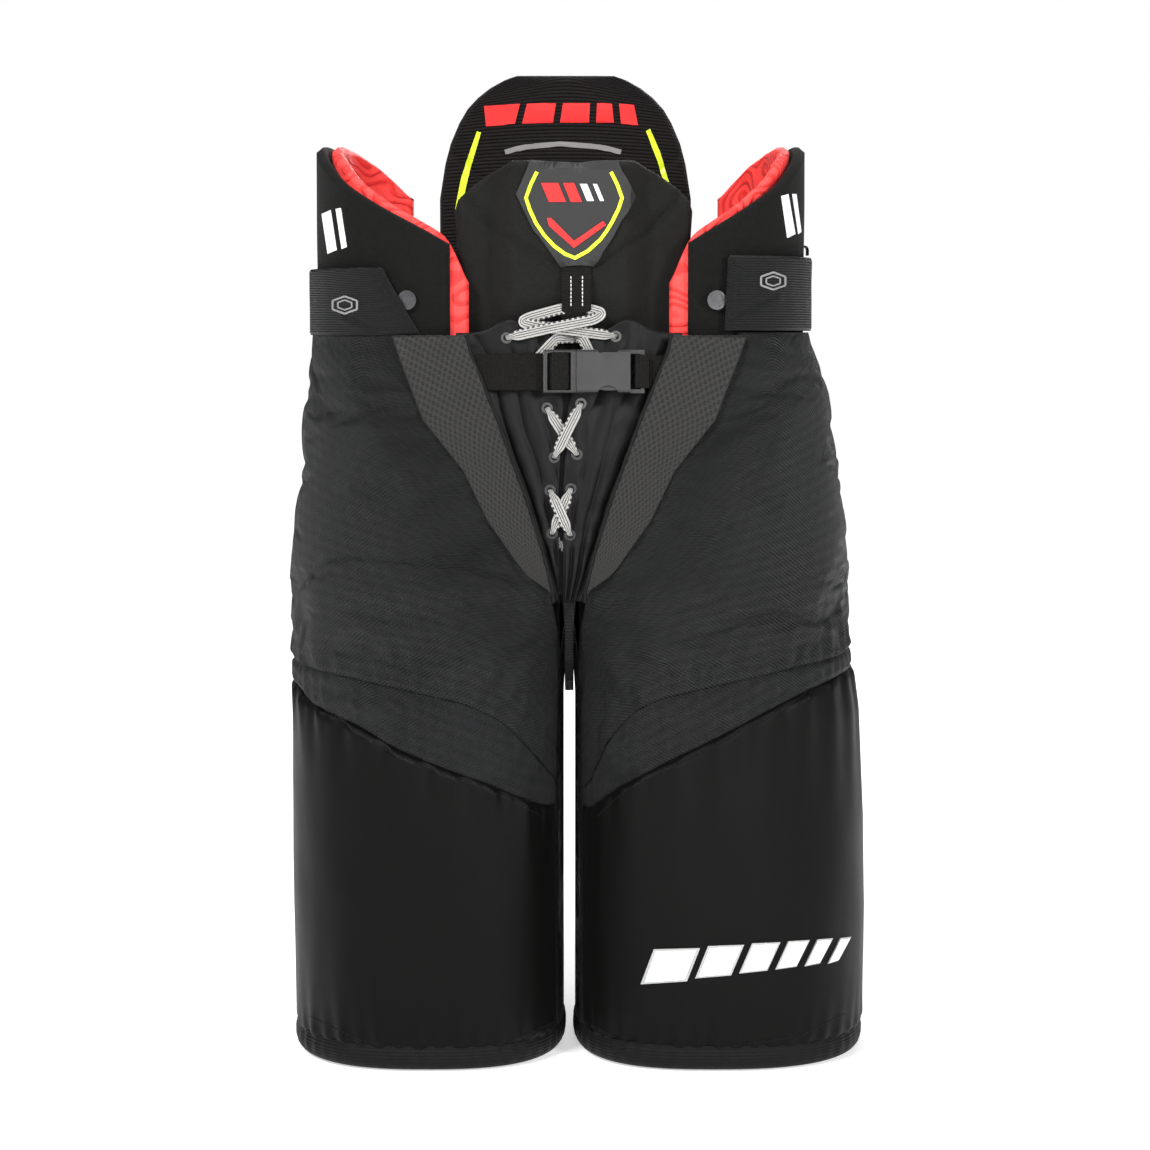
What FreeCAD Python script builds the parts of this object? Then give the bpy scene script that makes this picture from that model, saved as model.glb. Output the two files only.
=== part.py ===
"""Padded ice hockey player pants: two thigh tubes hinged at the groin crease under a lace-up hip shell,
with a belly pad, two hip pads and a spine pad on an inner belt that lifts for length adjustment,
hook-and-loop side tabs, and a webbing belt with a side-release buckle.

Frame: millimetres, +Z up, -Y is the wearer's front, +X is the wearer's left.
Origin: middle of the two hems, on the surface that the hems stand on.
"""
import FreeCAD, Part
from FreeCAD import Vector as V
import math
import os

os.makedirs("parts", exist_ok=True)

# ---------------------------------------------------------------- driving sizes
Z_HINGE = 329.0        # groin crease: the thigh tubes start just below it
GAP_HINGE = 1.5        # half of the gap between hip shell and thigh tube
Z_WAIST = 500.0        # top edge of the hip shell
Z_FOAM_TOP = 450.0     # top of the hip shell's own foam
Z_HEM = 16.0           # height of the hem binding
X_INNER = 5.0          # inner thigh wall from the middle plane
Y_CREASE = -122.0      # front face at the groin crease
Y_WAIST = -108.0       # front face at the waist
T_FABRIC = 1.4
WEB_W = 25.0           # belt webbing
WEB_T = 1.8
LACE_R = 1.5
LIFT = 25.4            # length adjustment of the inner belt
BUCKLE_OUT = 30.0      # travel that takes the prongs out of the housing

SIDES = {"right": -1, "left": 1}
OUTER = {  # outer silhouette, half width at each height
    "right": [(0, 193), (100, 194), (240, 195), (283, 194), (320, 191), (369, 187), (412, 183), (455, 180), (500, 180), (520, 180)],
    "left": [(0, 206), (100, 208), (164, 207), (240, 203), (283, 197), (320, 192), (369, 188), (412, 183), (455, 176), (500, 168), (520, 168)],
}
CX = [(0, 99), (329, 98), (400, 93), (455, 88), (476, 85), (500, 75), (520, 75)]
YF = [(0, -118), (120, -122), (250, -124), (Z_HINGE, Y_CREASE), (505, Y_WAIST + 5.0 / 176 * 14)]
YB = [(0, 100), (100, 104), (250, 112), (329, 120), (400, 117), (455, 108), (500, 99), (520, 97)]
N_OUT = [(0, 2.5), (329, 2.5), (500, 2.35)]
N_IN = [(0, 2.7), (200, 3.2), (329, 4.5), (500, 5.0)]


def at(table, z):
    if z <= table[0][0]:
        return table[0][1]
    for (z0, v0), (z1, v1) in zip(table, table[1:]):
        if z <= z1:
            return v0 + (v1 - v0) * (z - z0) / (z1 - z0)
    return table[-1][1]


def y_front(z):
    return at(YF, z)


def section(side, z):
    cx, xo = at(CX, z), at(OUTER[side], z)
    yf, yb = at(YF, z), at(YB, z)
    return cx, xo, (yf + yb) / 2, (yb - yf) / 2, at(N_OUT, z), at(N_IN, z)


def leg_pt(side, phi, z, d):
    """A point on a thigh tube. phi in degrees: -90 front, 0 outer side, 90 back, 180 inner side; d is the depth below the outer face."""
    cx, xo, cy, hy, no, ni = section(side, z)
    a = math.radians(phi)
    c, s = math.cos(a), math.sin(a)
    hx, n = (xo - cx, no) if c >= 0 else (cx - X_INNER, ni)
    px = hx * math.copysign(abs(c) ** (2 / n), c)
    py = hy * math.copysign(abs(s) ** (2 / n), s)
    gx = math.copysign((abs(px) / hx) ** (n - 1) / hx, c) if abs(c) > 1e-9 else 0.0
    gy = math.copysign((abs(py) / hy) ** (n - 1) / hy, s) if abs(s) > 1e-9 else 0.0
    g = math.hypot(gx, gy)
    return V(SIDES[side] * (cx + px - d * gx / g), cy + py - d * gy / g, z)


def hip_pt(side, s, z, d):
    """A point on the hip shell. s from -1 (front middle) to 0 (end of the flat front), 1 (end of the outer curve) and 2 (back middle)."""
    cx, xo, cy, hy, no, ni = section(side, z)
    if s <= 0:
        return V(SIDES[side] * cx * (1 + s), cy - hy + d, z)
    if s >= 1:
        return V(SIDES[side] * cx * (2 - s), cy + hy - d, z)
    return leg_pt(side, -90 + 180 * s, z, d)


def s_of_x(side, x, z):
    """The front s where the hip shell is x from the middle plane."""
    cx, xo, cy, hy, no, ni = section(side, z)
    if x <= cx:
        return x / cx - 1
    return 0.5 - math.degrees(math.acos(min(1.0, ((x - cx) / (xo - cx)) ** (no / 2)))) / 180


def even(fn, a, b, n):
    """n values from a to b that space the points of fn evenly."""
    m = 160
    ts = [a + (b - a) * i / m for i in range(m + 1)]
    ps = [fn(t) for t in ts]
    run = [0.0]
    for p, q in zip(ps, ps[1:]):
        run.append(run[-1] + (q - p).Length)
    out, k = [], 0
    for i in range(n):
        want = run[-1] * i / (n - 1)
        while k < m - 1 and run[k + 1] < want:
            k += 1
        f = (want - run[k]) / max(run[k + 1] - run[k], 1e-9)
        out.append(ts[k] + (ts[k + 1] - ts[k]) * min(1.0, max(0.0, f)))
    return out


def shares(rows):
    """Common parameters for rows of points: the mean chord length up to each point."""
    n = len(rows[0])
    total = [0.0] * n
    for row in rows:
        run = [0.0]
        for p, q in zip(row, row[1:]):
            run.append(run[-1] + (q - p).Length)
        for i in range(n):
            total[i] += run[i] / run[-1] / len(rows)
    return total


def spline(points, params):
    c = Part.BSplineCurve()
    c.interpolate(Points=points, Parameters=params)
    return c


def tensor(grid, pu, pv):
    """Poles, knots and degrees of the surface through a grid of points."""
    rows = [spline(row, pv) for row in grid]
    pr = [c.getPoles() for c in rows]
    cols = [spline([r[j] for r in pr], pu) for j in range(len(pr[0]))]
    poles = [[c.getPoles()[i] for c in cols] for i in range(len(cols[0].getPoles()))]
    return poles, cols[0], rows[0]


def patch(poles, cu, cv):
    s = Part.BSplineSurface()
    s.buildFromPolesMultsKnots(poles, cu.getMultiplicities(), cv.getMultiplicities(), cu.getKnots(), cv.getKnots(), False, False, cu.Degree, cv.Degree)
    return s.toShape()


def slab(outer, inner):
    """A closed solid between two grids of points with the same layout."""
    pv = shares(outer)
    pu = shares([list(col) for col in zip(*outer)])
    po, cu, cv = tensor(outer, pu, pv)
    pi, _, _ = tensor(inner, pu, pv)
    line = spline([V(0, 0, 0), V(1, 0, 0)], [0.0, 1.0])
    faces = [patch(po, cu, cv), patch(pi, cu, cv)]
    faces.append(patch([po[0], pi[0]], line, cv))
    faces.append(patch([po[-1], pi[-1]], line, cv))
    faces.append(patch([[r[0] for r in po], [r[0] for r in pi]], line, cu))
    faces.append(patch([[r[-1] for r in po], [r[-1] for r in pi]], line, cu))
    shell = Part.makeShell(faces)
    shell.sewShape()
    solid = Part.makeSolid(shell)
    if solid.Volume < 0:
        solid.reverse()
    return solid


def leg_slab(side, p0, p1, zlo, zhi, d0, d1, nphi=11, nz=6):
    lo = zlo if callable(zlo) else (lambda p: zlo)
    hi = zhi if callable(zhi) else (lambda p: zhi)
    zm = (lo((p0 + p1) / 2) + hi((p0 + p1) / 2)) / 2
    phis = even(lambda p: leg_pt(side, p, zm, 0), p0, p1, nphi)
    def g(d):
        return [[leg_pt(side, p, lo(p) + (hi(p) - lo(p)) * j / (nz - 1), d) for j in range(nz)] for p in phis]
    return slab(g(d0), g(d1))


def hip_slab(side, s0, s1, zlo, zhi, d0, d1, ns=13, nz=6):
    """s0 and s1 may depend on z; d0 and d1 may depend on s."""
    f0 = s0 if callable(s0) else (lambda z: s0)
    f1 = s1 if callable(s1) else (lambda z: s1)
    e0 = d0 if callable(d0) else (lambda s: d0)
    e1 = d1 if callable(d1) else (lambda s: d1)
    zs = [zlo + (zhi - zlo) * j / (nz - 1) for j in range(nz)]
    rows = [even(lambda s: hip_pt(side, s, z, 0), f0(z), f1(z), ns) for z in zs]
    def g(e):
        return [[hip_pt(side, rows[j][i], zs[j], e(rows[j][i])) for j in range(nz)] for i in range(ns)]
    return slab(g(e0), g(e1))


def ring(side, z0, z1, d0, d1, nz=5):
    """A closed thigh ring between two depths."""
    def loft(d, a, b, m):
        wires = []
        for j in range(m):
            z = a + (b - a) * j / (m - 1)
            zz = min(max(z, 0.0), Z_HINGE)
            pts = []
            for p in even(lambda q: leg_pt(side, q, zz, d), -90, 270, 41)[:-1]:
                q = leg_pt(side, p, zz, d)
                pts.append(V(q.x, q.y, z))
            c = Part.BSplineCurve()
            c.interpolate(Points=pts, PeriodicFlag=True)
            wires.append(Part.Wire([c.toShape()]))
        return Part.makeLoft(wires, True, False)
    return loft(d0, z0, z1, nz).cut(loft(d1, z0 - 3, z1 + 3, nz))


def mirror_side(x, side):
    return SIDES[side] * x


MADE = {}


def save(name, *shapes):
    solids = [s for shape in shapes for s in shape.Solids]
    bad = [i for i, s in enumerate(solids) if not s.isValid() or s.Volume <= 0]
    print(name, len(solids), "solids", round(sum(s.Volume for s in solids) / 1000, 2), "cm3", "BAD %s" % bad if bad else "")
    MADE[name] = solids[0] if len(solids) == 1 else Part.makeCompound(solids)


# ---------------------------------------------------------------- the flat front: a tilted plane
TILT = math.atan2(Y_WAIST - Y_CREASE, 505 - Z_HINGE)


def fly_pt(x, z, n):
    """A point over the flat front, n outward from it."""
    return V(x, y_front(z) - n * math.cos(TILT), z + n * math.sin(TILT))


def fly_place(shape, x, z, n):
    """Puts a shape that was modelled about its own origin (local -Y outward, +Z up) on the flat front."""
    s = shape.copy()
    s.rotate(V(0, 0, 0), V(1, 0, 0), -math.degrees(TILT))
    s.translate(fly_pt(x, z, n))
    return s


def box(x0, x1, y0, y1, z0, z1):
    return Part.makeBox(x1 - x0, y1 - y0, z1 - z0, V(x0, y0, z0))


def rounded(shape, r, pick=None):
    edges = [e for e in shape.Edges if pick is None or pick(e)]
    try:
        done = shape.makeFillet(r, edges)
        return done if done.isValid() and done.Volume > 0 else shape
    except Exception:
        return shape


# ---------------------------------------------------------------- thigh tubes
Z_TOP = Z_HINGE - GAP_HINGE


def x_share(phi):
    """0 at the outer side, 1 at the inner side, round the front."""
    p = ((phi + 180) % 360) - 180
    return min(1.0, max(0.0, (1 - math.cos(math.radians(p))) / 2)) if p < 0 else (0.0 if p < 90 else 1.0)


def yoke_top(phi):
    return 265 - 12 * x_share(phi) - 50 * x_share(phi) ** 3


def yoke_low(phi):
    return 244 - 62 * x_share(phi)


for side in SIDES:
    save(side + "_hem_binding", ring(side, 0, Z_HEM, -1.0, 18.0, 3))
    save(side + "_thigh_cover", leg_slab(side, -160, 20, Z_HEM + 0.4, lambda p: yoke_low(p) - 0.3, 0, T_FABRIC, 17, 6))
    save(side + "_yoke_band", leg_slab(side, -160, 20, yoke_low, yoke_top, 0, T_FABRIC, 17, 4))
    save(side + "_groin_panel", leg_slab(side, -160, 20, lambda p: yoke_top(p) + 0.3, Z_TOP, 0, T_FABRIC, 17, 5))
    save(side + "_rear_leg_panel", leg_slab(side, 20.4, 199.6, Z_HEM + 0.4, Z_TOP, 0, T_FABRIC, 23, 7))
    save(side + "_thigh_plate", leg_slab(side, -128, 30, 34, lambda p: yoke_top(p) + 10, 1.8, 4.2, 15, 6))
    save(side + "_thigh_foam", leg_slab(side, -140, 41, Z_HEM + 0.4, Z_TOP, 4.6, 16, 19, 6))
    save(side + "_rear_foam", leg_slab(side, 41.4, 219.6, Z_HEM + 0.4, Z_TOP, 1.8, 16, 19, 6))
    save(side + "_leg_lining", ring(side, Z_HEM + 0.4, Z_TOP, 17.0, 18.0, 8))

# ---------------------------------------------------------------- hip shell
Z_LOW = Z_HINGE + GAP_HINGE
MESH_OUT = [(329, 12), (340, 24), (363, 40), (377, 50), (410, 66), (444, 93), (491, 110), (500, 113)]
MESH_IN = [(329, 11), (357, 17), (392, 28), (444, 47), (488, 65), (500, 68)]
X_FLY = 1.2            # half of the gap between the two fly panels


def mesh_out(z):
    return at(MESH_OUT, z)


def mesh_in(z):
    return at(MESH_IN, z)


FLY_X = [(330, -5.5), (400, -5.5), (437, -3.4), (500, 0.6), (510, 0.6)]     # middle line of the fly
EYELETS = {
    "right": [(-11.4, 368), (-12.7, 397), (-10.0, 419), (-14.7, 452), (-26.0, 480), (-42.0, 499)],
    "left": [(0.7, 367), (1.3, 398), (5.3, 421), (8.0, 455), (18.0, 480), (31.4, 500)],
}
eyelet = Part.makeCylinder(3.8, 0.6, V(0, -0.68, 0), V(0, 1, 0)).fuse(Part.makeCylinder(2.75, 2.5, V(0, -0.68, 0), V(0, 1, 0))).fuse(Part.makeCylinder(3.6, 0.52, V(0, 1.3, 0), V(0, 1, 0)))
eyelet = eyelet.cut(Part.makeCylinder(2.1, 6, V(0, -2, 0), V(0, 1, 0)))
N_FLY = -4.0           # fly panels lie this far behind the shell's face

eyelets = []
for side in SIDES:
    save(side + "_front_panel", hip_slab(side, lambda z: s_of_x(side, mesh_out(z) + 0.4, z), 0.5, Z_LOW, Z_WAIST, 0, T_FABRIC, 15, 8))
    save(side + "_back_panel", hip_slab(side, 0.503, 1.98, Z_LOW, Z_WAIST, 0, T_FABRIC, 17, 8))
    save(side + "_mesh_panel", hip_slab(side, lambda z: s_of_x(side, mesh_in(z), z), lambda z: s_of_x(side, mesh_out(z) + 6, z), Z_LOW, Z_WAIST, -4.0, -2.7, 9, 8))
    k = SIDES[side]
    grid_o, grid_i = [], []
    for i in range(5):
        ro, ri = [], []
        for j in range(7):
            z = Z_LOW + (506 - Z_LOW) * j / 6
            x0 = at(FLY_X, z) + k * (X_FLY + max(0.0, z - 455) * 0.222)
            x1 = k * (mesh_in(z) + 8)
            x = x0 + (x1 - x0) * i / 4
            ro.append(fly_pt(x, z, N_FLY))
            ri.append(fly_pt(x, z, N_FLY - 1.2))
        grid_o.append(ro)
        grid_i.append(ri)
    panel = slab(grid_o, grid_i)
    for ex, ez in EYELETS[side]:
        panel = panel.cut(fly_place(Part.makeCylinder(3.0, 12, V(0, -6, 0), V(0, 1, 0)), ex, ez, N_FLY))
        eyelets.append(fly_place(eyelet, ex, ez, N_FLY))
    save(side + "_fly_panel", panel)
    save(side + "_hip_foam", hip_slab(side, lambda z: s_of_x(side, mesh_in(z) + 12, z), 0.76, Z_LOW + 2, Z_FOAM_TOP, 1.8, 15, 21, 6))
    save(side + "_seat_foam", hip_slab(side, 0.765, 1.97, Z_LOW + 2, Z_FOAM_TOP, 1.8, 15, 13, 6))
save("eyelets", *eyelets)

# tongue behind the lacing: a padded flap, its edges held between the front foams
tongue_o, tongue_i = [], []
for i in range(7):
    ro, ri = [], []
    for j in range(7):
        z = Z_LOW + 2.5 + (468 - Z_LOW - 2.5) * j / 6
        w = mesh_in(z) + 9
        x = -w + 2 * w * i / 6
        ro.append(fly_pt(x, z, -9.6))
        ri.append(fly_pt(x, z, -14.5))
    tongue_o.append(ro)
    tongue_i.append(ri)
save("fly_tongue", slab(tongue_o, tongue_i))

# crotch gusset: a saddle between the thighs, from the fly to the seat
pts = [V(0, -118, Z_HINGE + 1.0), V(0, -113, 288), V(0, -88, 266), V(0, -40, 254), V(0, 0, 251), V(0, 40, 254), V(0, 84, 266), V(0, 106, 288), V(0, 114, Z_HINGE + 1.0)]
c = Part.BSplineCurve()
c.interpolate(pts)
inner = [V(0, 108, Z_HINGE + 1.0), V(0, 98, 293), V(0, 78, 274), V(0, 36, 262), V(0, 0, 259.5), V(0, -36, 262), V(0, -82, 274), V(0, -106, 293), V(0, -111, Z_HINGE + 1.0)]
ci = Part.BSplineCurve()
ci.interpolate(inner)
w = Part.Wire([c.toShape(), Part.makeLine(pts[-1], inner[0]), ci.toShape(), Part.makeLine(inner[-1], pts[0])])
g = Part.Face(w).extrude(V(6.4, 0, 0))
g.translate(V(-3.2, 0, 0))
save("crotch_gusset", g)

# ---------------------------------------------------------------- inner belt and pads
Z_PAD = 472.0


def pad_slab(side, s0, s1, zlo, ztop, d0, d1, ns=15, nz=6, zref=500.0):
    """A pad that stands straight up on the waist outline, with a top edge that depends on s."""
    ss = even(lambda s: hip_pt(side, s, zref, 0), s0, s1, ns)
    e0 = d0 if callable(d0) else (lambda s, z: d0)
    e1 = d1 if callable(d1) else (lambda s, z: d1)
    zl = zlo if callable(zlo) else (lambda s: zlo)
    def g(e):
        grid = []
        for s in ss:
            row = []
            for j in range(nz):
                z = zl(s) + (ztop(s) - zl(s)) * j / (nz - 1)
                p = hip_pt(side, s, zref, e(s, z))
                row.append(V(p.x, p.y, z))
            grid.append(row)
        return grid
    return slab(g(e0), g(e1))


# inner belt: a band between shell and pads, open at the fly
belt = []
for side in SIDES:
    belt.append(pad_slab(side, s_of_x(side, 80, 500), 1.995, 474, lambda s: 494, 1.9, 3.2, 25, 3))
save("inner_belt", *belt)

# hip pads: highest over the hip bone, falling to the front and to the back
HIP_TOP = [(-0.06, 538), (-0.02, 551), (0.0, 559), (0.02, 569), (0.08, 580), (0.16, 592), (0.26, 606), (0.36, 621), (0.46, 631), (0.56, 634), (0.66, 631), (0.76, 622), (0.83, 610), (0.88, 597), (1.0, 570)]


def hip_top(s):
    return at(HIP_TOP, s)


def hip_in(s, z):
    return 14.8 + 8.2 * min(1.0, max(0.0, (s - 0.02) / 0.18))


def hip_out(s, z):
    return 3.6 + 2.8 * min(1.0, max(0.0, (0.08 - s) / 0.05))


for side in SIDES:
    s0 = s_of_x(side, 71, 500)
    s1 = 0.88
    save(side + "_hip_pad", pad_slab(side, s0, s1, Z_PAD, hip_top, hip_out, lambda s, z: 3.6 + (hip_in(s, z) - 3.6) * 0.42, 25, 7))
    save(side + "_hip_plate", pad_slab(side, 0.2, 0.8, Z_PAD + 10, lambda s: hip_top(s) - 14, lambda s, z: 3.9 + (hip_in(s, z) - 3.6) * 0.42, lambda s, z: 5.9 + (hip_in(s, z) - 3.6) * 0.42, 13, 5))
    save(side + "_hip_pad_lining", pad_slab(side, s0, s1, Z_PAD, hip_top, lambda s, z: 6.2 + (hip_in(s, z) - 3.6) * 0.42, lambda s, z: hip_in(s, z), 25, 7))
    k = SIDES[side]
    buttons = []
    for s, z in ((0.0857 if side == "right" else 0.066, 524), (0.82, 527)):
        p = hip_pt(side, s, 500, 3.3)
        q = hip_pt(side, s, 500, 0)
        nrm = (q - p).normalize()
        post = Part.makeCylinder(3.0, 1.4, V(p.x, p.y, z), nrm)
        cap = Part.makeCylinder(6.5, 1.4, V(p.x, p.y, z) + nrm * 1.4, nrm)
        dish = Part.makeCylinder(4.6, 0.8, V(p.x, p.y, z) + nrm * 2.1, nrm)
        buttons.append(post.fuse(cap).cut(dish))
    save(side + "_suspender_buttons", *buttons)

# pull loop on the left hip pad
p = hip_pt("left", 0.56, 500, 3.3)
q = hip_pt("left", 0.56, 500, 0)
nrm = (q - p).normalize()
side_dir = V(0, 0, 1).cross(nrm)
o = V(p.x, p.y, 540) + nrm * 1.7
path = Part.Wire([Part.makeLine(o, o + V(0, 0, 22)), Part.Arc(o + V(0, 0, 22), o + V(0, 0, 24.6) + nrm * 2.6, o + V(0, 0, 22) + nrm * 5.2).toShape(), Part.makeLine(o + V(0, 0, 22) + nrm * 5.2, o + V(0, 0, 17.5) + nrm * 5.2)])
loop = path.makePipeShell([Part.Wire([Part.makeCircle(1.6, o, V(0, 0, 1))])], True, False)
save("left_pull_loop", loop)


def belly_front(x, z):
    b = min(1.0, max(0.0, (532 - z) / 28))
    base = 5.0 + 7.0 * b * b * (3 - 2 * b)
    edge = 23.0 - base
    t = min(1.0, max(0.0, (abs(x) - 36) / 20))
    return base + edge * t * t * (3 - 2 * t)


def y_at(x, z, d, back=False, side="left"):
    """Front or back face of the waist outline at x, d below it."""
    cx, xo, cy, hy, no, ni = section(side, 500)
    ax = abs(x)
    f = hy if ax <= cx else hy * (1 - ((ax - cx) / (xo - cx)) ** no) ** (1 / no)
    return cy + f - d if back else cy - f + d


BELLY_X = 3.0
BELLY_W = [(472, 70), (500, 74), (560, 79), (588, 80), (597, 73), (606, 60), (612, 52), (617, 42)]
grid_o, grid_i = [], []
for i in range(15):
    ro, ri = [], []
    for z in (472, 488, 504, 511, 518, 525, 532, 545, 560, 575, 588, 597, 606, 612, 617):
        x = BELLY_X + at(BELLY_W, z) * (2 * i / 14 - 1)
        f = belly_front(x, z)
        ro.append(V(x, y_at(x, z, f), z))
        ri.append(V(x, y_at(x, z, 0) + 30, z))
    grid_o.append(ro)
    grid_i.append(ri)
belly = slab(grid_o, grid_i)
save("belly_pad", belly)

# moulded shield badge on the belly pad
Y_BADGE = y_at(0, 560, 5.0)
badge_pts = [(-18, 617), (25, 617), (34, 588), (4, 548), (-27, 588)]
badge = Part.Face(Part.makePolygon([V(x, Y_BADGE - 2.4, z - 0.6) for x, z in badge_pts + badge_pts[:1]])).extrude(V(0, 1.8, 0))
save("belly_badge", badge)

# lace keeper: webbing strip sewn to the belly pad above and below, the lace runs behind it
KEEPER_X, KEEPER_W = 5.0, 20.0
prof = [V(0, Y_BADGE - d, z) for d, z in ((0.2, 546), (1.8, 546), (5.6, 539), (5.6, 521.5), (2.0, 515.5), (2.0, 508), (0.3, 508), (0.3, 516.4), (4.0, 522.4), (4.0, 538.2), (0.2, 544.4))]
keeper = Part.Face(Part.makePolygon(prof + prof[:1])).extrude(V(KEEPER_W, 0, 0))
keeper.translate(V(KEEPER_X - KEEPER_W / 2, 0, 0))
save("lace_keeper", keeper)

# spine pad: three layers, the middle one a stiff plate
SPINE_X = -3.0
SPINE_W = [(472, 66), (500, 74), (560, 92), (600, 92), (640, 84), (665, 71), (680, 56), (689, 38)]
ZS = (472, 500, 530, 560, 600, 640, 665, 680, 689)


def spine(d0, d1, zs, inset):
    o, i_ = [], []
    for i in range(11):
        ro, ri = [], []
        for z in zs:
            x = SPINE_X + (at(SPINE_W, z) - inset) * (2 * i / 10 - 1)
            lean = 6.0 * max(0.0, (z - 560) / 129) ** 2
            ro.append(V(x, y_at(x, z, d0, True, "right" if x < 0 else "left") - lean, z))
            ri.append(V(x, y_at(x, z, d1, True, "right" if x < 0 else "left") - lean, z))
        o.append(ro)
        i_.append(ri)
    return slab(o, i_)


save("spine_pad_back", spine(3.8, 11.0, ZS, 0))
save("tailbone_plate", spine(11.3, 13.3, (486, 510, 540, 570, 600, 640, 662), 14))
save("spine_pad_front", spine(13.6, 24.0, ZS, 0))

# ---------------------------------------------------------------- length tabs, hook and loop
TAB_Z = {"right": (504.0, 546.0), "left": (507.0, 554.0)}
TAB_S = {"right": (0.062, 0.137), "left": (0.082, 0.089)}    # front edge at the bottom and at the top
TAB_END = 0.60
D_TAB = -2.4           # outer face of the tab, outside the waist outline
TAB_AXES = {}


def tab_grid(side, d, s_from, s_to, z0, z1):
    out = []
    for i in range(15):
        row = []
        for j in range(4):
            z = z0 + (z1 - z0) * j / 3
            s = s_from(z) + (s_to - s_from(z)) * i / 14
            p = hip_pt(side, s, 500, d)
            row.append(V(p.x, p.y, z))
        out.append(row)
    return out


for side in SIDES:
    z0, z1 = TAB_Z[side]
    f0, f1 = TAB_S[side]
    edge = lambda z: f0 + (f1 - f0) * (z - z0) / (z1 - z0)
    save(side + "_extension_tab", slab(tab_grid(side, D_TAB, edge, TAB_END, z0, z1), tab_grid(side, D_TAB + 1.8, edge, TAB_END, z0, z1)))
    save(side + "_hook_patch", slab(tab_grid(side, D_TAB + 2.0, lambda z: 0.20, 0.42, z0 + 6, z1 - 5), tab_grid(side, D_TAB + 3.2, lambda z: 0.20, 0.42, z0 + 6, z1 - 5)))
    # hinge line: the lower outer tangent of the tab
    a, b = hip_pt(side, 0.12, 500, D_TAB), hip_pt(side, TAB_END, 500, D_TAB)
    t = V(b.x - a.x, b.y - a.y, 0).normalize()
    n = V(t.y, -t.x, 0)
    if n.x * SIDES[side] < 0:
        n = n * -1
    reach = max(hip_pt(side, 0.06 + 0.54 * i / 60, 500, D_TAB).dot(n) for i in range(61))
    mid = (a + b) * 0.5
    mid = mid + n * (reach - mid.dot(n) + 0.6)
    TAB_AXES[side] = (V(mid.x, mid.y, z0), t)


# ---------------------------------------------------------------- belt and buckle, over the fly
BZ = 476.0             # belt height on the flat front
N_WEB = 0.4            # back face of the webbing over the shell's face
H_BUCKLE = 29.0
XB = 5.0               # parting line between insert and housing


def web_profile(points, t):
    """A strip of thickness t through points (x, n), extruded over the belt's width."""
    def offset(pts, d):
        out = []
        for i, (x, n) in enumerate(pts):
            x0, n0 = pts[max(i - 1, 0)]
            x1, n1 = pts[min(i + 1, len(pts) - 1)]
            dx, dn = x1 - x0, n1 - n0
            l = math.hypot(dx, dn)
            out.append((x - dn / l * d, n + dx / l * d))
        return out
    top, bot = offset(points, t / 2), offset(points, -t / 2)
    loop = top + bot[::-1]
    f = Part.Face(Part.makePolygon([V(x, -n, -WEB_W / 2) for x, n in loop + loop[:1]]))
    return f.extrude(V(0, 0, WEB_W))


mid_n = N_WEB + WEB_T / 2
belt_r = web_profile([(-63, mid_n), (-16, mid_n), (-13.4, mid_n + 0.6), (-11.0, mid_n + 4.6), (-9.0, 6.9), (-2.5, 6.9), (-0.8, mid_n + 4.6), (0.6, mid_n + 1.2), (2.2, mid_n + 0.5)], 1.5)
save("right_belt_webbing", fly_place(belt_r, 0, BZ, 0))
hb = H_BUCKLE / 2
# housing: a hollow box with side windows and a webbing bar
hs = box(XB, 41.0, -9.2, -0.6, -hb, hb)
hs = rounded(hs, 2.0, lambda e: abs(e.tangentAt(e.FirstParameter).x) > 0.9)
hs = hs.cut(box(XB - 1, 35.5, -7.6, -2.2, -hb + 1.6, hb - 1.6))
for sgn in (1, -1):
    win = Part.makeCylinder(7.5, 20, V(26, 5, sgn * (hb + 2.6)), V(0, -1, 0))
    hs = hs.cut(win)
bar_top = box(41.0, 50.5, -4.6, -0.6, hb - 2.6, hb)
bar_bot = box(41.0, 50.5, -4.6, -0.6, -hb, -hb + 2.6)
bar_end = box(47.9, 50.5, -4.6, -2.6, -hb, hb)
frame = hs.fuse(bar_top).fuse(bar_bot).fuse(bar_end).removeSplitter()
wl = box(44.4, 92, -(N_WEB + 1.7), -(N_WEB + 0.1), -WEB_W / 2 + 1.4, WEB_W / 2 - 1.4)
wrap = box(44.4, 46.0, -6.7, -(N_WEB + 1.7), -11.1, 11.1).fuse(box(46.0, 53.5, -6.7, -5.1, -11.1, 11.1))
wl = wl.fuse(wrap).removeSplitter()
save("buckle_housing", fly_place(frame, 0, BZ, 0))
save("left_belt_webbing", fly_place(wl, 0, BZ, 0))

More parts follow.
